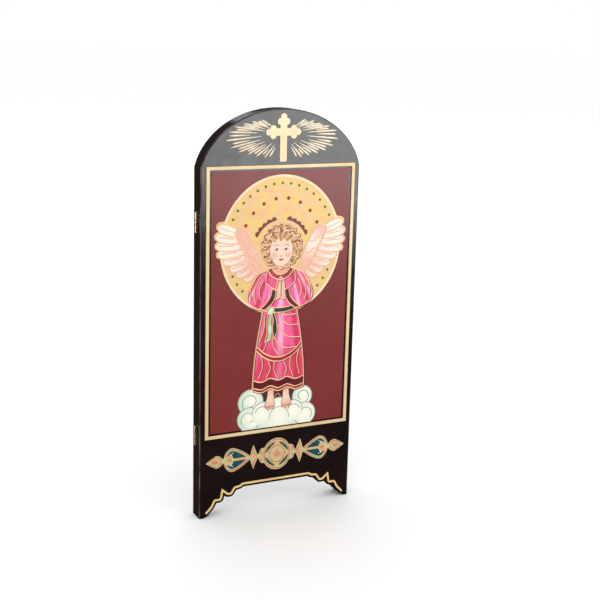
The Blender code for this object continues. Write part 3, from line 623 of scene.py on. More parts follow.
def makeNails():
    tone = metalFinish("nail brass", nails["tone"], nails["deep"], colours["brassDeep"], (0.3, 0.45), 0.4, 0.1)
    for place in ("upper", "lower"):
        for side, turn in (("front", 1), ("rear", -1)):
            leaf = nodes[f"{place}_hinge_{side}_leaf"]
            corners = [leaf.matrix_world @ Vector(corner) for corner in leaf.bound_box]
            edge = max(corner.x for corner in corners)
            middle = (min(corner.z for corner in corners) + max(corner.z for corner in corners)) / 2
            work = bmesh.new()
            for across, up in zip(nails["across"], nails["up"]):
                tall = nails["proud"] + nails["sunk"]
                made = bmesh.ops.create_cone(work, cap_ends=True, segments=20, radius1=nails["radius"] * mm,
                                             radius2=nails["radius"] * 0.72 * mm, depth=tall * mm)
                out = -nails["face"] + nails["proud"] - tall / 2
                for vert in made["verts"]:
                    x, y, z = vert.co
                    vert.co = (edge - across * mm + x, turn * (out * mm + z), middle + up * mm + y)
            bmesh.ops.recalc_face_normals(work, faces=work.faces)
            mesh = bpy.data.meshes.new(f"{place}_hinge_{side}_nails")
            work.to_mesh(mesh)
            work.free()
            mesh.materials.append(tone)
            piece = bpy.data.objects.new(mesh.name, mesh)
            bpy.context.scene.collection.objects.link(piece)
            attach(piece, f"{side}_panel")


makeNails()
print("hinge nails made")

# Enamel and engraving of the base ornament

ornamentLook = {
    "up": 18.7, "halfLength": 24.6, "teal": "245e62", "tealDeep": "163e44", "glint": "d6ece2", "glintDeep": "b9dcd2",
    "copper": "e0a27a", "copperDeep": "cf8f66", "engraved": "7a5030", "engravedWidth": 0.17, "engravedRise": 0.018,
    "palmette": [(0.42, 0.0), (0.46, 1.3), (0.52, 2.3), (0.58, 3.1), (0.64, 3.5), (0.70, 2.9), (0.735, 1.8),
                 (0.745, 0.0)],       # shares of the half length, and mm up from the middle, as below
    "engravedLines": [[(0.215, 0.5), (0.235, 1.3), (0.23, 2.2)], [(0.285, 0.35), (0.325, 1.4), (0.337, 3.2)],
                      [(0.40, 0.55), (0.50, 2.15), (0.60, 3.45), (0.69, 3.3), (0.74, 1.5)],
                      [(0.79, 0.3), (0.83, 1.35), (0.875, 1.6), (0.965, 0.25)]],
    "green": "4a745c", "greenDeep": "16302a", "crescentRadius": 4.2, "crescentSweep": 70, "crescentDepth": 0.21,
}


def crescents():
    # Four tapered arcs that fill the openings of the medallion
    shapes = []
    for quarter in range(4):
        outer, inner = [], []
        for i in range(13):
            turn = math.radians(45 + 90 * quarter + ornamentLook["crescentSweep"] * (i / 12 - 0.5))
            depth = 1 - ornamentLook["crescentDepth"] * math.sin(math.pi * i / 12) ** 0.35
            spot = Vector((math.cos(turn), math.sin(turn))) * ornamentLook["crescentRadius"]
            outer.append((spot.x, ornamentLook["up"] + spot.y))
            inner.append((spot.x * depth, ornamentLook["up"] + spot.y * depth))
        shapes.append(outer + inner[-2:0:-1])
    return shapes


def makeOrnamentWork():
    up, half = ornamentLook["up"], ornamentLook["halfLength"]
    teal = enamelFinish("teal enamel", ornamentLook["teal"], ornamentLook["tealDeep"], 0.2, 500.0)
    copper = metalFinish("copper tone", ornamentLook["copper"], ornamentLook["copperDeep"], colours["giltWorn"],
                         (0.35, 0.5), 0.2, 0.3)
    above = ornamentLook["palmette"]
    bed = [(share * half, up + rise) for share, rise in above]
    bed += [(share * half, up - rise) for share, rise in reversed(above[1:-1])]
    flatPiece("ornament_enamel", [oval(0, up, 4.4, 4.5), flow(bed, True), flow(mirror(bed), True)], boardFace,
              (0.008, 0.036), teal, rounding=0.004)

    green = enamelFinish("green enamel", ornamentLook["green"], ornamentLook["greenDeep"], 0.25, 1300.0)
    flatPiece("medallion_enamel", crescents(), ornamentFace, (-0.02, 0.012), green, rounding=0.004)

    diamond = [(0, up + 1.5), (1.35, up), (0, up - 1.5), (-1.35, up)]
    leaf = flow([(0.82 * half, up, 1), (0.875 * half, up + 0.75), (0.935 * half, up, 1),
                 (0.875 * half, up - 0.75)], True)
    bud = oval(0.672 * half, up, 0.75, 0.6)
    flatPiece("ornament_copper", [diamond, leaf, mirror(leaf), bud, mirror(bud)], ornamentFace, (0.0, 0.02), copper)

    # pale enamel spots beside the buds, painted as highlights
    glints = []
    for side in (-1, 1):
        for tall in (-1, 1):
            glints.append(oval(side * 0.655 * half, up + tall * 1.75, 0.42, 0.34, steps=14))
            glints.append(oval(side * 0.625 * half, up + tall * 2.25, 0.2, 0.2, steps=10))
    glintTone = enamelFinish("pale glint", ornamentLook["glint"], ornamentLook["glintDeep"], 0.2, 900.0)
    flatPiece("ornament_glints", glints, boardFace, (0.03, 0.12), glintTone, rounding=0.02)

    lines, closed = [oval(0, up, 4.5, 5.0), oval(0, up, 2.75, 2.9)], [True, True]
    for side in (-1, 1):
        for tall in (-1, 1):
            for shape in ornamentLook["engravedLines"]:
                lines.append(flow([(side * share * half, up + tall * rise) for share, rise in shape]))
                closed.append(False)
    engraved = metalFinish("engraved line", ornamentLook["engraved"], ornamentLook["engraved"], colours["giltWorn"],
                           (0.4, 0.55), 0.2, 0.2)
    linePiece("ornament_engraving", lines, ornamentFace, ornamentLook["engravedRise"], engraved, closed=closed,
              width=ornamentLook["engravedWidth"])


makeOrnamentWork()
print("ornament enamelled")

# The picture: a winged child in prayer on a cloud, before a gilt disc with rings of dots

figure = {
    "pinks": ("d62a50", "fc5c98", "ffb4da"), "roses": ("d42a4a", "fc548c", "ff9cc6"),    # dark, middle and light
    "trim": ("74191f", "4c1012"), "red": ("c22c38", "94202a"), "brown": "47181a", "brownDeep": "361214",
    "skin": "f8d2ba", "skinBlush": "eca88c", "tan": "c98a68", "outline": ("f9c8a0", "f1ae88"),
    "lineWidth": 0.5, "lineRise": 0.095, "shadowLineWidth": 0.54, "shadowLineRise": 0.078, "shadowLineShift": (0.17, -0.13),
    "drawingWidth": 0.15, "drawingRise": 0.066, "tanWidth": 0.2, "tanRise": 0.068, "sunk": 0.02,
}
layers = {      # how far each layer of the picture stands out from the icon sheet, in mm
    "cloudShadow": 0.006, "cloudBase": 0.009, "cloudLobe": 0.010, "cloudStep": 0.002, "discRim": 0.010,
    "discDots": 0.02, "feather": 0.010, "featherStep": 0.0025, "coverts": 0.034, "foot": 0.036, "skirt": 0.038,
    "hemEdge": 0.040, "hem": 0.042, "overskirt": 0.044, "overskirtTrim": 0.047, "bodice": 0.044, "collar": 0.050,
    "belt": 0.049, "shortEnd": 0.050, "longEnd": 0.052, "knot": 0.056, "hand": 0.055, "sleeve": 0.053,
    "cuff": 0.057, "hair": 0.040, "neck": 0.047, "face": 0.052, "fringe": 0.057,
}
goldLines = []          # every outline is gathered here and made as one piece
goldClosed = []
shadedLines = []        # those with a dark edge along them, a painted shadow below and right of the gold line
shadedClosed = []
fineLines = []          # thin brown drawing, as on the toes
softLines = []          # the same in tan, as on the feathers and fingers


def within(spot, shape):
    # Whether a place lies inside a closed outline
    odd = False
    for (fromX, fromZ), (toX, toZ) in zip(shape, shape[1:] + shape[:1]):
        if (fromZ > spot[1]) != (toZ > spot[1]):
            if spot[0] < fromX + (toX - fromX) * (spot[1] - fromZ) / (toZ - fromZ):
                odd = not odd
    return odd


def openRuns(points, closed, covers):
    # The stretches of a line that none of the covers hides
    path = []
    for start, stop in zip(points, points[1:] + (points[:1] if closed else [])):
        pieces = max(1, round(math.dist(start, stop) / 0.25))
        path += [tuple(Vector(start).lerp(Vector(stop), i / pieces)) for i in range(pieces)]
    path.append(points[0] if closed else points[-1])
    runs, current = [], []
    for spot in path:
        if any(within(spot, cover) for cover in covers):
            runs.append(current)
            current = []
        else:
            current.append(spot)
    return [run for run in runs + [current] if len(run) > 3]


def outlineIn(points, closed=True, shaded=True, covers=()):
    runs = openRuns(points, closed, covers) if covers else [points]
    for run in runs:
        goldLines.append(run)
        goldClosed.append(closed and not covers)
        # a dark brown copy shifted down and right: a painted shadow of the raised gold line
        if shaded:
            shadedLines.append([(across + figure["shadowLineShift"][0], up + figure["shadowLineShift"][1])
                                for across, up in run])
            shadedClosed.append(closed and not covers)


def strokeIn(points, covers=()):
    # The same for an open line through the points
    outlineIn(flow(points), False, covers=covers)


def plate(name, loops, top, finish, centre=(0.0, 0.0), rounding=0.006):
    # A thin plate, sunk a little into the icon sheet and standing up to the given height above it
    flatPiece(name, loops, sheetFace, (-figure["sunk"], top), finish, centre, rounding)


disc = {
    "up": 87.9, "halfSizes": (20.6, 22.15), "rim": 0.75, "rimColours": ("fbe0bb", "f6cfa4"),
    "rimFrom": -62, "rimTo": 242,       # degrees, open where the cloud covers it
    "redRing": (13.6, 14.9), "redDot": 0.58, "reds": ("b04222", "983218"), "redCount": 20, "redArc": 72,
    "greenRing": (18.3, 19.5), "greenDot": 0.46, "greens": ("4e8a34", "6c7a28"), "greenCount": 40,
    "greenArcs": (68, 112, 152),        # degrees from the top: the wings hide the dots between the first two
}


def ringDot(ring, turn, size, steps):
    turn = math.radians(turn)
    return oval(ring[0] * math.sin(turn), disc["up"] + ring[1] * math.cos(turn), size, size, steps=steps)


def makeDisc():
    start, stop = disc["rimFrom"], disc["rimTo"]
    outer = oval(0, disc["up"], *[half - 0.02 for half in disc["halfSizes"]], start, stop, 80)
    inner = oval(0, disc["up"], *[half - disc["rim"] for half in disc["halfSizes"]], start, stop, 80)
    rimTone = metalFinish("peach rim", *disc["rimColours"], colours["giltDeep"], (0.35, 0.5), 0.1, 0.2)
    plate("disc_rim", [outer + inner[::-1]], layers["discRim"], rimTone, rounding=0.004)
    red = enamelFinish("red enamel dots", *disc["reds"], 0.4, 400.0, 0.15)
    green = enamelFinish("green enamel dots", *disc["greens"], 0.4, 120.0, 0.15)
    redDots, greenDots = [], []
    between = 360 / disc["redCount"]
    for step in range(disc["redCount"]):
        turn = between * (step + 0.5)
        if min(turn, 360 - turn) < disc["redArc"]:
            redDots.append(ringDot(disc["redRing"], turn, disc["redDot"], 14))
    between = 360 / disc["greenCount"]
    for step in range(disc["greenCount"]):
        turn = between * step
        fromTop = min(turn, 360 - turn)
        if fromTop < disc["greenArcs"][0] or disc["greenArcs"][1] < fromTop < disc["greenArcs"][2]:
            greenDots.append(ringDot(disc["greenRing"], turn, disc["greenDot"], 12))
    plate("disc_red_dots", redDots, layers["discDots"], red, rounding=0.008)
    plate("disc_green_dots", greenDots, layers["discDots"], green, rounding=0.008)


def feather(root, tip, width):
    # A long rounded leaf from root to tip
    root, tip = Vector(root), Vector(tip)
    along = tip - root
    aside = Vector((-along.y, along.x)).normalized() * width / 2
    half = [(0.0, 0.25), (0.3, 0.7), (0.62, 1.0), (0.86, 0.86), (0.97, 0.42), (1.0, 0.0)]
    upper = [root + along * share + aside * wide for share, wide in half]
    lower = [root + along * share - aside * wide for share, wide in reversed(half[:-1])]
    return flow([tuple(p) for p in upper + lower], True, 4)


wing = {
    "colour": "fbe9d8", "pink": "efb49e", "middle": (7.5, 83.0), "wrist": (11.8, 91.2), "shoulder": (6.8, 80.4),
    "tips": [(21.3, 94.7), (22.0, 91.7), (22.0, 88.8), (21.4, 86.1), (19.4, 83.6), (17.2, 81.2), (14.9, 79.2),
             (12.5, 77.6)],
    "featherWidth": 3.3, "shaftShares": (0.45, 0.7, 0.9),
    "coverts": [(5.6, 79.4, 1), (7.3, 84.2), (9.3, 88.9), (11.5, 92.4), (13.9, 93.7), (15.6, 92.6), (14.6, 90.0),
                (12.9, 87.0), (11.5, 83.8), (9.9, 81.0), (7.9, 78.9)],
    "scallops": [[(9.4, 89.0), (11.2, 88.6), (12.6, 90.0), (14.5, 90.3)],
                 [(7.9, 85.6), (9.7, 85.0), (11.1, 86.3), (12.6, 86.4)],
                 [(6.7, 82.2), (8.3, 81.6), (9.6, 82.8), (11.1, 82.9)]],
}


def makeWings():
    finish = spotFinish("wing enamel", wing["colour"], wing["pink"], [(0.0, 0.0, 11.5)])
    covert = spotFinish("covert enamel", wing["pink"], wing["colour"], [(3.0, 5.0, 6.5)])
    count = len(wing["tips"])
    for side, label in bothSides:
        centre = (side * wing["middle"][0], wing["middle"][1])
        patch = onSide(side, flow(wing["coverts"], True))
        shapes = []
        for i, tip in enumerate(wing["tips"]):
            root = Vector(wing["wrist"]).lerp(Vector(wing["shoulder"]), 0.92 * i / (count - 1))
            shapes.append(onSide(side, feather(root, tip, wing["featherWidth"])))
            shaft = [root.lerp(Vector(tip), share) for share in wing["shaftShares"]]
            softLines.extend(openRuns([(side * spot.x, spot.y) for spot in shaft], False, shapes[:-1] + [patch]))
        for i, shape in enumerate(shapes):
            top = layers["feather"] + layers["featherStep"] * (count - i)
            plate(f"{label}_feather_{i + 1}", [shape], top, finish, centre, 0.004)
            outlineIn(shape, shaded=False, covers=shapes[:i] + [patch, sleeveShape(side)])
        plate(f"{label}_wing_coverts", [patch], layers["coverts"], covert, centre)
        outlineIn(patch, shaded=False, covers=[sleeveShape(side)])
        for line in wing["scallops"]:
            outlineIn(onSide(side, flow(line)), False, False)


sashTones = {"colour": "a9cfa2", "light": "dcefd2", "dark": "2c4a38", "darkest": "1d3026"}
sashShapes = [      # the belt, its shorter and longer ends, and the knot
    flow([(-5.6, 67.2, 1), (-2.5, 66.5), (0, 66.3), (2.5, 66.5), (5.6, 67.2, 1), (5.4, 68.6, 1), (2.5, 68.0),
          (0, 67.8), (-2.5, 68.0), (-5.4, 68.6, 1)], True),
    flow([(-3.0, 66.6, 1), (-2.3, 64.0), (-2.5, 61.0), (-1.9, 57.6, 1), (-0.8, 60.2, 1), (-1.1, 63.6),
          (-2.1, 66.7, 1)], True),
    flow([(-4.0, 66.5, 1), (-4.5, 63.2), (-4.3, 60.0), (-5.1, 56.9, 1), (-3.2, 57.4, 1), (-2.8, 60.6), (-3.1, 63.8),
          (-2.7, 66.5, 1)], True),
    oval(-3.3, 67.1, 1.2, 1.25),
]

sleeve = {
    "middle": (6.0, 79.0), "turn": 0.55,
    "outline": [(4.6, 80.2, 1), (7.7, 78.8), (9.9, 75.6), (11.2, 72.2), (10.6, 69.9), (8.6, 68.3), (5.3, 67.4, 1),
                (3.3, 68.9), (1.9, 71.0), (1.45, 73.5, 1), (3.2, 74.5), (5.1, 76.2, 1), (5.0, 78.0)],
    "opening": [(5.3, 67.4), (3.3, 68.9), (1.9, 71.0), (1.45, 73.5)],
    "border": [(6.9, 67.8), (4.9, 69.6), (3.4, 71.7), (2.9, 74.2)],
    "creases": [[(6.2, 78.9), (8.3, 75.8), (9.0, 72.4), (8.3, 69.6)],
                [(5.9, 76.9), (7.1, 74.6), (7.2, 72.2), (6.8, 70.8)], [(8.4, 78.0), (10.2, 74.4), (10.2, 71.2)]],
}

robe = {
    "top": 70.2, "bottom": 40.2, "topHalf": 5.6, "bottomHalf": 9.3, "inset": 0.3,
    "hem": [(-8.9, 41.0), (-6.0, 40.2), (-3.0, 41.2), (0, 40.3), (3.0, 41.2), (6.0, 40.2), (8.9, 41.0)],
    "overHem": [(-8.0, 54.4), (-5.4, 52.0), (-2.6, 50.6), (0.4, 50.2), (3.2, 51.0), (5.8, 52.6), (8.0, 55.0)],
    "creases": [[(-6.2, 52.5), (-5.7, 49.0), (-7.0, 45.0)], [(-3.9, 51.2), (-3.0, 48.0), (-4.4, 44.9)],
                [(-1.5, 50.3), (-1.7, 47.6), (-0.2, 44.2)], [(1.5, 50.4), (2.7, 47.4), (2.0, 44.4)],
                [(4.2, 51.6), (3.9, 48.4), (5.2, 44.6)], [(6.9, 53.8), (6.3, 49.8), (7.4, 45.2)]],
    "overCreases": [[(-1.9, 66.2), (-0.5, 61.8), (2.8, 58.2), (7.3, 57.6)],
                    [(-0.5, 66.3), (1.0, 63.6), (3.4, 61.9), (6.7, 61.8)],
                    [(-2.1, 64.6), (-1.8, 58.8), (1.2, 54.7), (6.2, 54.4)], [(1.0, 66.2), (2.6, 65.2), (5.9, 65.4)],
                    [(-2.6, 58.6), (-2.0, 55.2), (-0.3, 52.4)], [(-5.2, 65.2), (-5.5, 61.0), (-7.1, 56.6)],
                    [(-4.6, 58.6), (-4.7, 56.0), (-5.7, 54.0)]],
    "bodice": [(2.7, 80.7, 1), (5.4, 79.9), (7.5, 78.0), (7.2, 74), (5.6, 70.4), (5.1, 67.4, 1)],
    "neckline": [(-3.2, 80.9), (-1.9, 79.2), (0, 78.5), (1.9, 79.2), (3.2, 80.9)],
    "collar": [(-4.6, 80.2), (-2.7, 77.9), (0, 76.9), (2.7, 77.9), (4.6, 80.2)],
}


def sleeveShape(side):
    # A wide sleeve with the arm bent, its opening facing inward and down
    return onSide(side, flow(sleeve["outline"], True))


def robeHalf(up):
    # Half the robe's width at a height
    share = (robe["top"] - up) / (robe["top"] - robe["bottom"])
    spread = (robe["bottomHalf"] - robe["topHalf"]) * math.sin(share * math.pi / 2)
    return robe["topHalf"] + spread - robe["inset"]


def sharpEnds(points):
    return [(*points[0], 1)] + points[1:-1] + [(*points[-1], 1)]


def bandBetween(lower, upper):
    # A closed band between two lines that both run from left to right
    return flow(sharpEnds(lower) + sharpEnds(upper[::-1]), True)


def raised(points, narrowing, rise):
    return [(across * narrowing, up + rise) for across, up in points]


def makeRobe(trim, red):
    gown = robeFinish("robe enamel", figure["roses"], 34.0, 0.035, darkFrom=-0.012)
    over = robeFinish("overskirt enamel", figure["pinks"], 27.0, 0.028, wobble=3.0, darkFrom=-0.011)
    bodice = robeFinish("bodice enamel", figure["pinks"], 20.0, 0.02)
    hem = robe["hem"]
    sides = [(robeHalf(up), up) for up in (44, 48, 52, 56, 60, 64, 67.5)]
    rising = sides[:-1] + [(*sides[-1], 1)]
    skirt = flow(sharpEnds(hem) + rising + mirror(rising), True)
    plate("robe_skirt", [skirt], layers["skirt"], gown, (0.0, 68.0))
    strokeIn(mirror(sides) + sharpEnds(hem) + sides, sashShapes + [sleeveShape(1), sleeveShape(-1)])
    bandLow, bandTop = raised(hem, 0.99, 1.0), raised(hem, 0.985, 3.5)
    plate("robe_hem", [bandBetween(bandLow, bandTop)], layers["hem"], trim)
    plate("robe_hem_edge", [bandBetween(hem, bandLow)], layers["hemEdge"], red)
    for line in [bandLow, bandTop] + robe["creases"]:
        strokeIn(line)

    lower = robe["overHem"]
    trimTop = raised(lower, 0.985, 1.35)
    overSides = [(robeHalf(up) - 0.02, up) for up in (58, 61, 64)]
    tunic = flow(sharpEnds(lower) + overSides + [(5.1, 67.3, 1), (-5.1, 67.3, 1)] + mirror(overSides), True)
    plate("robe_overskirt", [tunic], layers["overskirt"], over, (0.5, 69.0))
    plate("robe_overskirt_trim", [bandBetween(lower, trimTop)], layers["overskirtTrim"], red)
    strokeIn(lower)
    strokeIn(trimTop)
    for line in robe["overCreases"]:
        strokeIn(line, sashShapes)

    chest = flow([(0, 79.0)] + robe["bodice"] + mirror(robe["bodice"]), True)
    plate("robe_bodice", [chest], layers["bodice"], bodice, (0.0, 80.0))
    collar = bandBetween(robe["collar"], robe["neckline"])
    plate("robe_collar", [collar], layers["collar"], red)
    outlineIn(collar)


def makeSash():
    pale = spotFinish("sash enamel", sashTones["colour"], sashTones["light"], [(0.0, 0.0, 2.2)])
    deep = enamelFinish("deep green enamel", sashTones["dark"], sashTones["darkest"], 0.25, 500.0)
    belt, shorter, longer, knot = sashShapes
    plate("sash_belt", [belt], layers["belt"], deep, (0.0, 67.5))
    plate("sash_end_short", [shorter], layers["shortEnd"], deep, (-1.6, 66.8))
    plate("sash_end_long", [longer], layers["longEnd"], pale, (-3.0, 61.0))
    plate("sash_knot", [knot], layers["knot"], pale, (-3.3, 67.1))
    outlineIn(belt, covers=[knot, sleeveShape(1), sleeveShape(-1)])
    outlineIn(shorter, covers=[longer, knot])
    outlineIn(longer, covers=[knot])
    outlineIn(knot)


def makeSleeves(trim):
    for side, label in bothSides:
        opening, border = onSide(side, sleeve["opening"]), onSide(side, sleeve["border"])
        finish = robeFinish(f"{label} sleeve enamel", figure["pinks"], 17.0, 0.006, turn=side * sleeve["turn"])
        centre = (side * sleeve["middle"][0], sleeve["middle"][1])
        plate(f"{label}_sleeve", [sleeveShape(side)], layers["sleeve"], finish, centre)
        plate(f"{label}_cuff", [bandBetween(opening, border)], layers["cuff"], trim)
        outlineIn(sleeveShape(side))
        strokeIn(border)
        for line in sleeve["creases"]:
            strokeIn(onSide(side, line))


hand = {
    "outline": [(0.0, 71.3, 1), (1.0, 70.7), (2.4, 70.6, 1), (1.95, 72.4), (1.55, 74.0), (1.35, 75.4), (0.95, 76.6),
                (0.45, 77.5), (0.0, 77.9, 1)],
    "fingers": [[(0.8, 73.9), (0.75, 75.4), (0.4, 76.9)], [(1.15, 72.3), (1.0, 73.5), (0.3, 74.4)]],
}


def makeHands(skin):
    for side, label in bothSides:
        shape = flow(onSide(side, hand["outline"]), True)
        plate(f"{label}_hand", [shape], layers["hand"], skin, (0.0, 74.0))
        outlineIn(shape, covers=[sleeveShape(side)])
        for line in hand["fingers"]:
            softLines.append([(side * across, up) for across, up in flow(line)])


head = {
    "up": 87.6, "hair": ("8a5228", "d09a5c", "ecc68c"), "hairHalf": (6.3, 6.5), "waves": 9, "waveDepth": 0.75,
    "curls": 13, "curlReach": (5.35, 5.6), "curlSize": 0.95, "cheek": "f0a892",
    "features": ("5a3424", "44261a"), "eyeWhite": ("fbf4ee", "efe2da"), "lips": ("cf5f62", "bb4f54"),
    "gems": ("b8283c", "8c1626"),
    "neck": [(-1.7, 83.4, 1), (-1.7, 81.6), (-2.6, 80.2), (0, 78.6), (2.6, 80.2), (1.7, 81.6), (1.7, 83.4, 1)],
    "cheekLine": [(2.5, 90.5), (3.8, 88.4), (3.95, 86.0), (3.3, 83.6), (1.9, 81.9)],
    "fringe": [(-4.3, 86.4, 1), (-3.4, 88.2), (-3.1, 89.6, 1), (-2.2, 88.9), (-1.3, 90.2, 1), (-0.2, 89.2),
               (0.9, 90.2, 1), (2.0, 88.9), (3.0, 89.6, 1), (3.5, 88.2), (4.3, 86.4, 1), (4.8, 88.8), (3.2, 91.4),
               (0, 92.2), (-3.2, 91.4), (-4.8, 88.8)],
    "eye": [(0.85, 86.5, 1), (1.6, 86.95), (2.4, 86.5, 1), (1.6, 86.15)],
    "lid": [(0.75, 86.45), (1.6, 87.0), (2.55, 86.4)], "brow": [(0.75, 87.75), (1.6, 88.15), (2.7, 87.7)],
    "nose": [(-0.45, 84.75), (-0.2, 84.45), (0.2, 84.45), (0.45, 84.75)],
    "mouth": [(-0.95, 83.4, 1), (-0.35, 83.72), (0, 83.62), (0.35, 83.72), (0.95, 83.4, 1), (0, 82.95)],
    "mouthLine": [(-0.85, 83.42), (0, 83.25), (0.85, 83.42)], "featureWidth": 0.16,
    "featureSpan": (0.04, 0.056), "pupilSpan": (0.04, 0.060), "gemSpan": (0.05, 0.092),
    "circlet": [(-4.9, 90.0), (-3.0, 91.9), (0, 92.7), (3.0, 91.9), (4.9, 90.0)], "circletWidth": 0.7,
    "gemPlaces": [(0, 92.6, 0.62, 16), (-2.9, 91.9, 0.42, 14), (2.9, 91.9, 0.42, 14)],
}


def makeHead(skin):
    up = head["up"]
    hairTone = robeFinish("hair enamel", head["hair"], 12.0, 0.0005, wobble=6.0)
    crown = []
    for i in range(120):
        turn = math.tau * i / 120
        swell = abs(math.sin(turn * head["waves"])) * head["waveDepth"]
        wide, tall = head["hairHalf"]
        crown.append(((wide + swell) * math.cos(turn), up + (tall + swell) * math.sin(turn)))
    plate("hair", [crown], layers["hair"], hairTone, (0.0, up))
    outlineIn(crown)
    plate("neck", [flow(head["neck"], True)], layers["neck"], skin, (0.0, 88.0))
    faceShape = flow([(0, 91.2)] + head["cheekLine"] + [(0, 81.2)] + mirror(head["cheekLine"]), True)
    faceTone = spotFinish("face enamel", figure["skin"], head["cheek"], [(-2.4, -1.5, 1.6), (2.4, -1.5, 1.6)])
    plate("face", [faceShape], layers["face"], faceTone, (0.0, 86.3))
    fineLines.append(faceShape)
    plate("hair_fringe", [flow(head["fringe"], True)], layers["fringe"], hairTone, (0.0, up))
    for i in range(head["curls"]):
        turn = math.radians(-42 + 264 * i / (head["curls"] - 1))
        middle = Vector((head["curlReach"][0] * math.cos(turn), up + head["curlReach"][1] * math.sin(turn)))
        curl = [tuple(middle + Vector((math.cos(turn + 0.9 * s), math.sin(turn + 0.9 * s)))
                      * (head["curlSize"] - 0.12 * s)) for s in range(7)]
        outlineIn(flow(curl, False, 3), False)
    dark = enamelFinish("painted features", *head["features"], 0.3)
    white = enamelFinish("eye white", *head["eyeWhite"], 0.25)
    lips = enamelFinish("lip enamel", *head["lips"], 0.25)
    eyes, pupils, lids = [], [], []
    for side in (-1, 1):
        eyes.append(flow(onSide(side, head["eye"]), True))
        pupils.append(oval(side * 1.6, 86.53, 0.36, 0.38, steps=14))
        lids += [flow([(side * x, z) for x, z in head[line]]) for line in ("lid", "brow")]
    lids += [flow(head["nose"]), flow(head["mouthLine"])]
    flatPiece("eyes", eyes, sheetFace, head["featureSpan"], white, rounding=0.002)
    flatPiece("pupils", pupils, sheetFace, head["pupilSpan"], dark, rounding=0.002)
    flatPiece("lips", [flow(head["mouth"], True)], sheetFace, head["featureSpan"], lips, rounding=0.002)
    linePiece("face_lines", lids, sheetFace - 0.050 * mm, 0.014, dark, width=head["featureWidth"])
    linePiece("circlet", [flow(head["circlet"])], sheetFace - 0.045 * mm, 0.035, gilt, width=head["circletWidth"])
    gems = [oval(across, z, size, size, steps=count) for across, z, size, count in head["gemPlaces"]]
    gemTone = enamelFinish("gem enamel", *head["gems"], 0.2)
    flatPiece("circlet_gems", gems, sheetFace, head["gemSpan"], gemTone, rounding=0.010)
    return dark


cloud = {
    "edge": "c2e0c9", "light": "fdf9e8", "shade": "5c2624", "lines": ("8e9383", "7d9684"), "lineWidth": 0.26,
    "lobes": [(8.58, 37.54, 3.69), (-9.58, 37.44, 4.49), (0.2, 34.6, 3.6), (9.58, 31.45, 3.99), (-10.18, 31.85, 4.09),
              (5.2, 33.0, 3.7), (-5.2, 33.2, 4.0), (0.4, 31.4, 3.6)],      # across, up and radius
    "floor": 28.3, "inset": 0.14, "mint": (0, 1, 4),
    "swirls": {0: (-60, 300), 1: (230, -320), 3: (-40, 250), 4: (215, -280), 5: (10, 150), 6: (170, -160)},
    "shadow": [(-7.2, 42.0, 1), (-7.4, 37.0), (-5.0, 33.5), (5.0, 33.5), (7.2, 37.0), (7.0, 42.0, 1)],
    "gap": (-0.2, 37.84, 1.12, 1.62),
}


def makeCloud():
    finish = spotFinish("cloud enamel", cloud["edge"], cloud["light"], [(0.5, 0.6, 5.2), (1.6, -1.2, 4.4)])
    cream = spotFinish("cloud cream", cloud["edge"], cloud["light"], [(0.0, 0.0, 9.0)])
    shade = enamelFinish("cloud shadow", figure["brown"], cloud["shade"], 0.35, 300.0)
    below = [flow(cloud["shadow"], True), oval(*cloud["gap"], steps=16)]
    plate("cloud_shadow", below, layers["cloudShadow"], shade, rounding=0.003)
    floor = cloud["floor"]
    base = flow([(-12.6, floor, 1), (-12.2, floor + 3), (-8.0, floor + 5), (8.0, floor + 5), (11.7, floor + 3),
                 (12.1, floor, 1)], True)
    plate("cloud_base", [base], layers["cloudBase"], cream, (0.0, floor + 2), 0.003)
    lobes = [(across, up, radius - cloud["inset"]) for across, up, radius in cloud["lobes"]]
    circles = [[(x, max(z, floor)) for x, z in oval(across, up, size, size, steps=48)] for across, up, size in lobes]
    lines = []
    for i, (across, up, size) in enumerate(lobes):
        circle = circles[i]
        solid = [p for j, p in enumerate(circle) if max(p[1], circle[j - 1][1], circle[(j + 1) % 48][1]) > floor]
        tone = finish if i in cloud["mint"] else cream
        top = layers["cloudLobe"] + layers["cloudStep"] * i
        plate(f"cloud_lobe_{i + 1}", [solid], top, tone, (across, up), 0.003)
        upper = oval(across, up, size, size, -8 if i > 4 else -50, 188 if i > 4 else 230, 40)
        lines += openRuns([spot for spot in upper if spot[1] > floor], False, circles[i + 1:])
        if i in cloud["swirls"]:
            start, sweep = cloud["swirls"][i]
            swirl = []
            for s in range(33):
                turn = math.radians(start + sweep * s / 32)
                reach = size * (0.72 - 0.4 * (s / 32) * min(1.0, abs(sweep) / 250))
                swirl.append((across + reach * math.cos(turn), up + reach * math.sin(turn)))
            lines += openRuns(swirl, False, circles[i + 1:])
    lineTone = enamelFinish("cloud lines", *cloud["lines"], 0.3)
    linePiece("cloud_lines", lines, sheetFace - 0.016 * mm, 0.018, lineTone, width=cloud["lineWidth"])


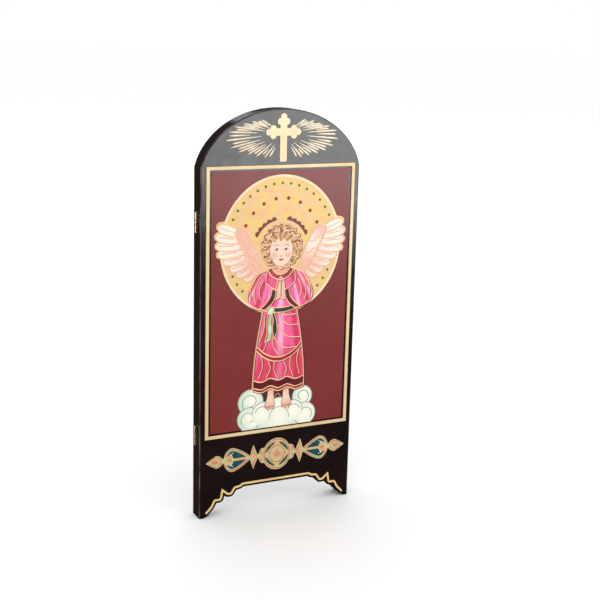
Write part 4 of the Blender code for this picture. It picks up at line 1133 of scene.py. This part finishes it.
foot = {
    "outline": [(1.5, 42.0, 1), (1.6, 39.8), (1.45, 37.6), (1.15, 36.0), (1.5, 34.7), (2.9, 34.3), (4.3, 34.7),
                (4.7, 36.0), (4.1, 37.8), (3.75, 39.8), (3.9, 42.0, 1)],
    "middle": (2.7, 38.0), "toes": 5, "firstToe": 1.65, "toeStep": 0.62,
}


def makeFeet(skin):
    for side, label in bothSides:
        shape = flow(onSide(side, foot["outline"]), True)
        centre = (side * foot["middle"][0], foot["middle"][1])
        plate(f"{label}_foot", [shape], layers["foot"], skin, centre, 0.005)
        fineLines.append(shape)
        for i in range(foot["toes"]):
            across = side * (foot["firstToe"] + foot["toeStep"] * i)
            fineLines.append(flow([(across - 0.3, 35.5), (across, 34.95), (across + 0.3, 35.5)], False, 3))


def makePicture():
    skin = spotFinish("skin enamel", figure["skinBlush"], figure["skin"], [(0.0, 0.0, 4.5)])
    trim = enamelFinish("dark red enamel", *figure["trim"], 0.25, 600.0)
    red = enamelFinish("bright red enamel", *figure["red"], 0.25, 400.0)
    brown = enamelFinish("brown painted shadow line", figure["brown"], figure["brownDeep"], 0.55, specular=0.2)
    outline = metalFinish("gilt outline", *figure["outline"], colours["giltDeep"], giltLook["roughness"], 0.2,
                          giltLook["grain"])
    tan = enamelFinish("tan drawing", figure["tan"], figure["tan"], 0.3)
    makeDisc()
    makeCloud()
    makeWings()
    makeFeet(skin)
    makeRobe(trim, red)
    makeSash()
    makeHands(skin)
    makeSleeves(trim)
    dark = makeHead(skin)
    # dark brown lines below and right of the gold outlines, painted as their shadows
    linePiece("picture_shadow_lines", shadedLines, sheetFace, figure["shadowLineRise"], brown, shadedClosed,
              width=figure["shadowLineWidth"])
    linePiece("picture_outlines", goldLines, sheetFace, figure["lineRise"], outline, closed=goldClosed,
              width=figure["lineWidth"])
    linePiece("picture_drawing", fineLines, sheetFace, figure["drawingRise"], dark,
              width=figure["drawingWidth"])
    linePiece("picture_tan_drawing", softLines, sheetFace, figure["tanRise"], tan, width=figure["tanWidth"])


makePicture()
print("picture drawn:", len(goldLines), "gilt outlines")
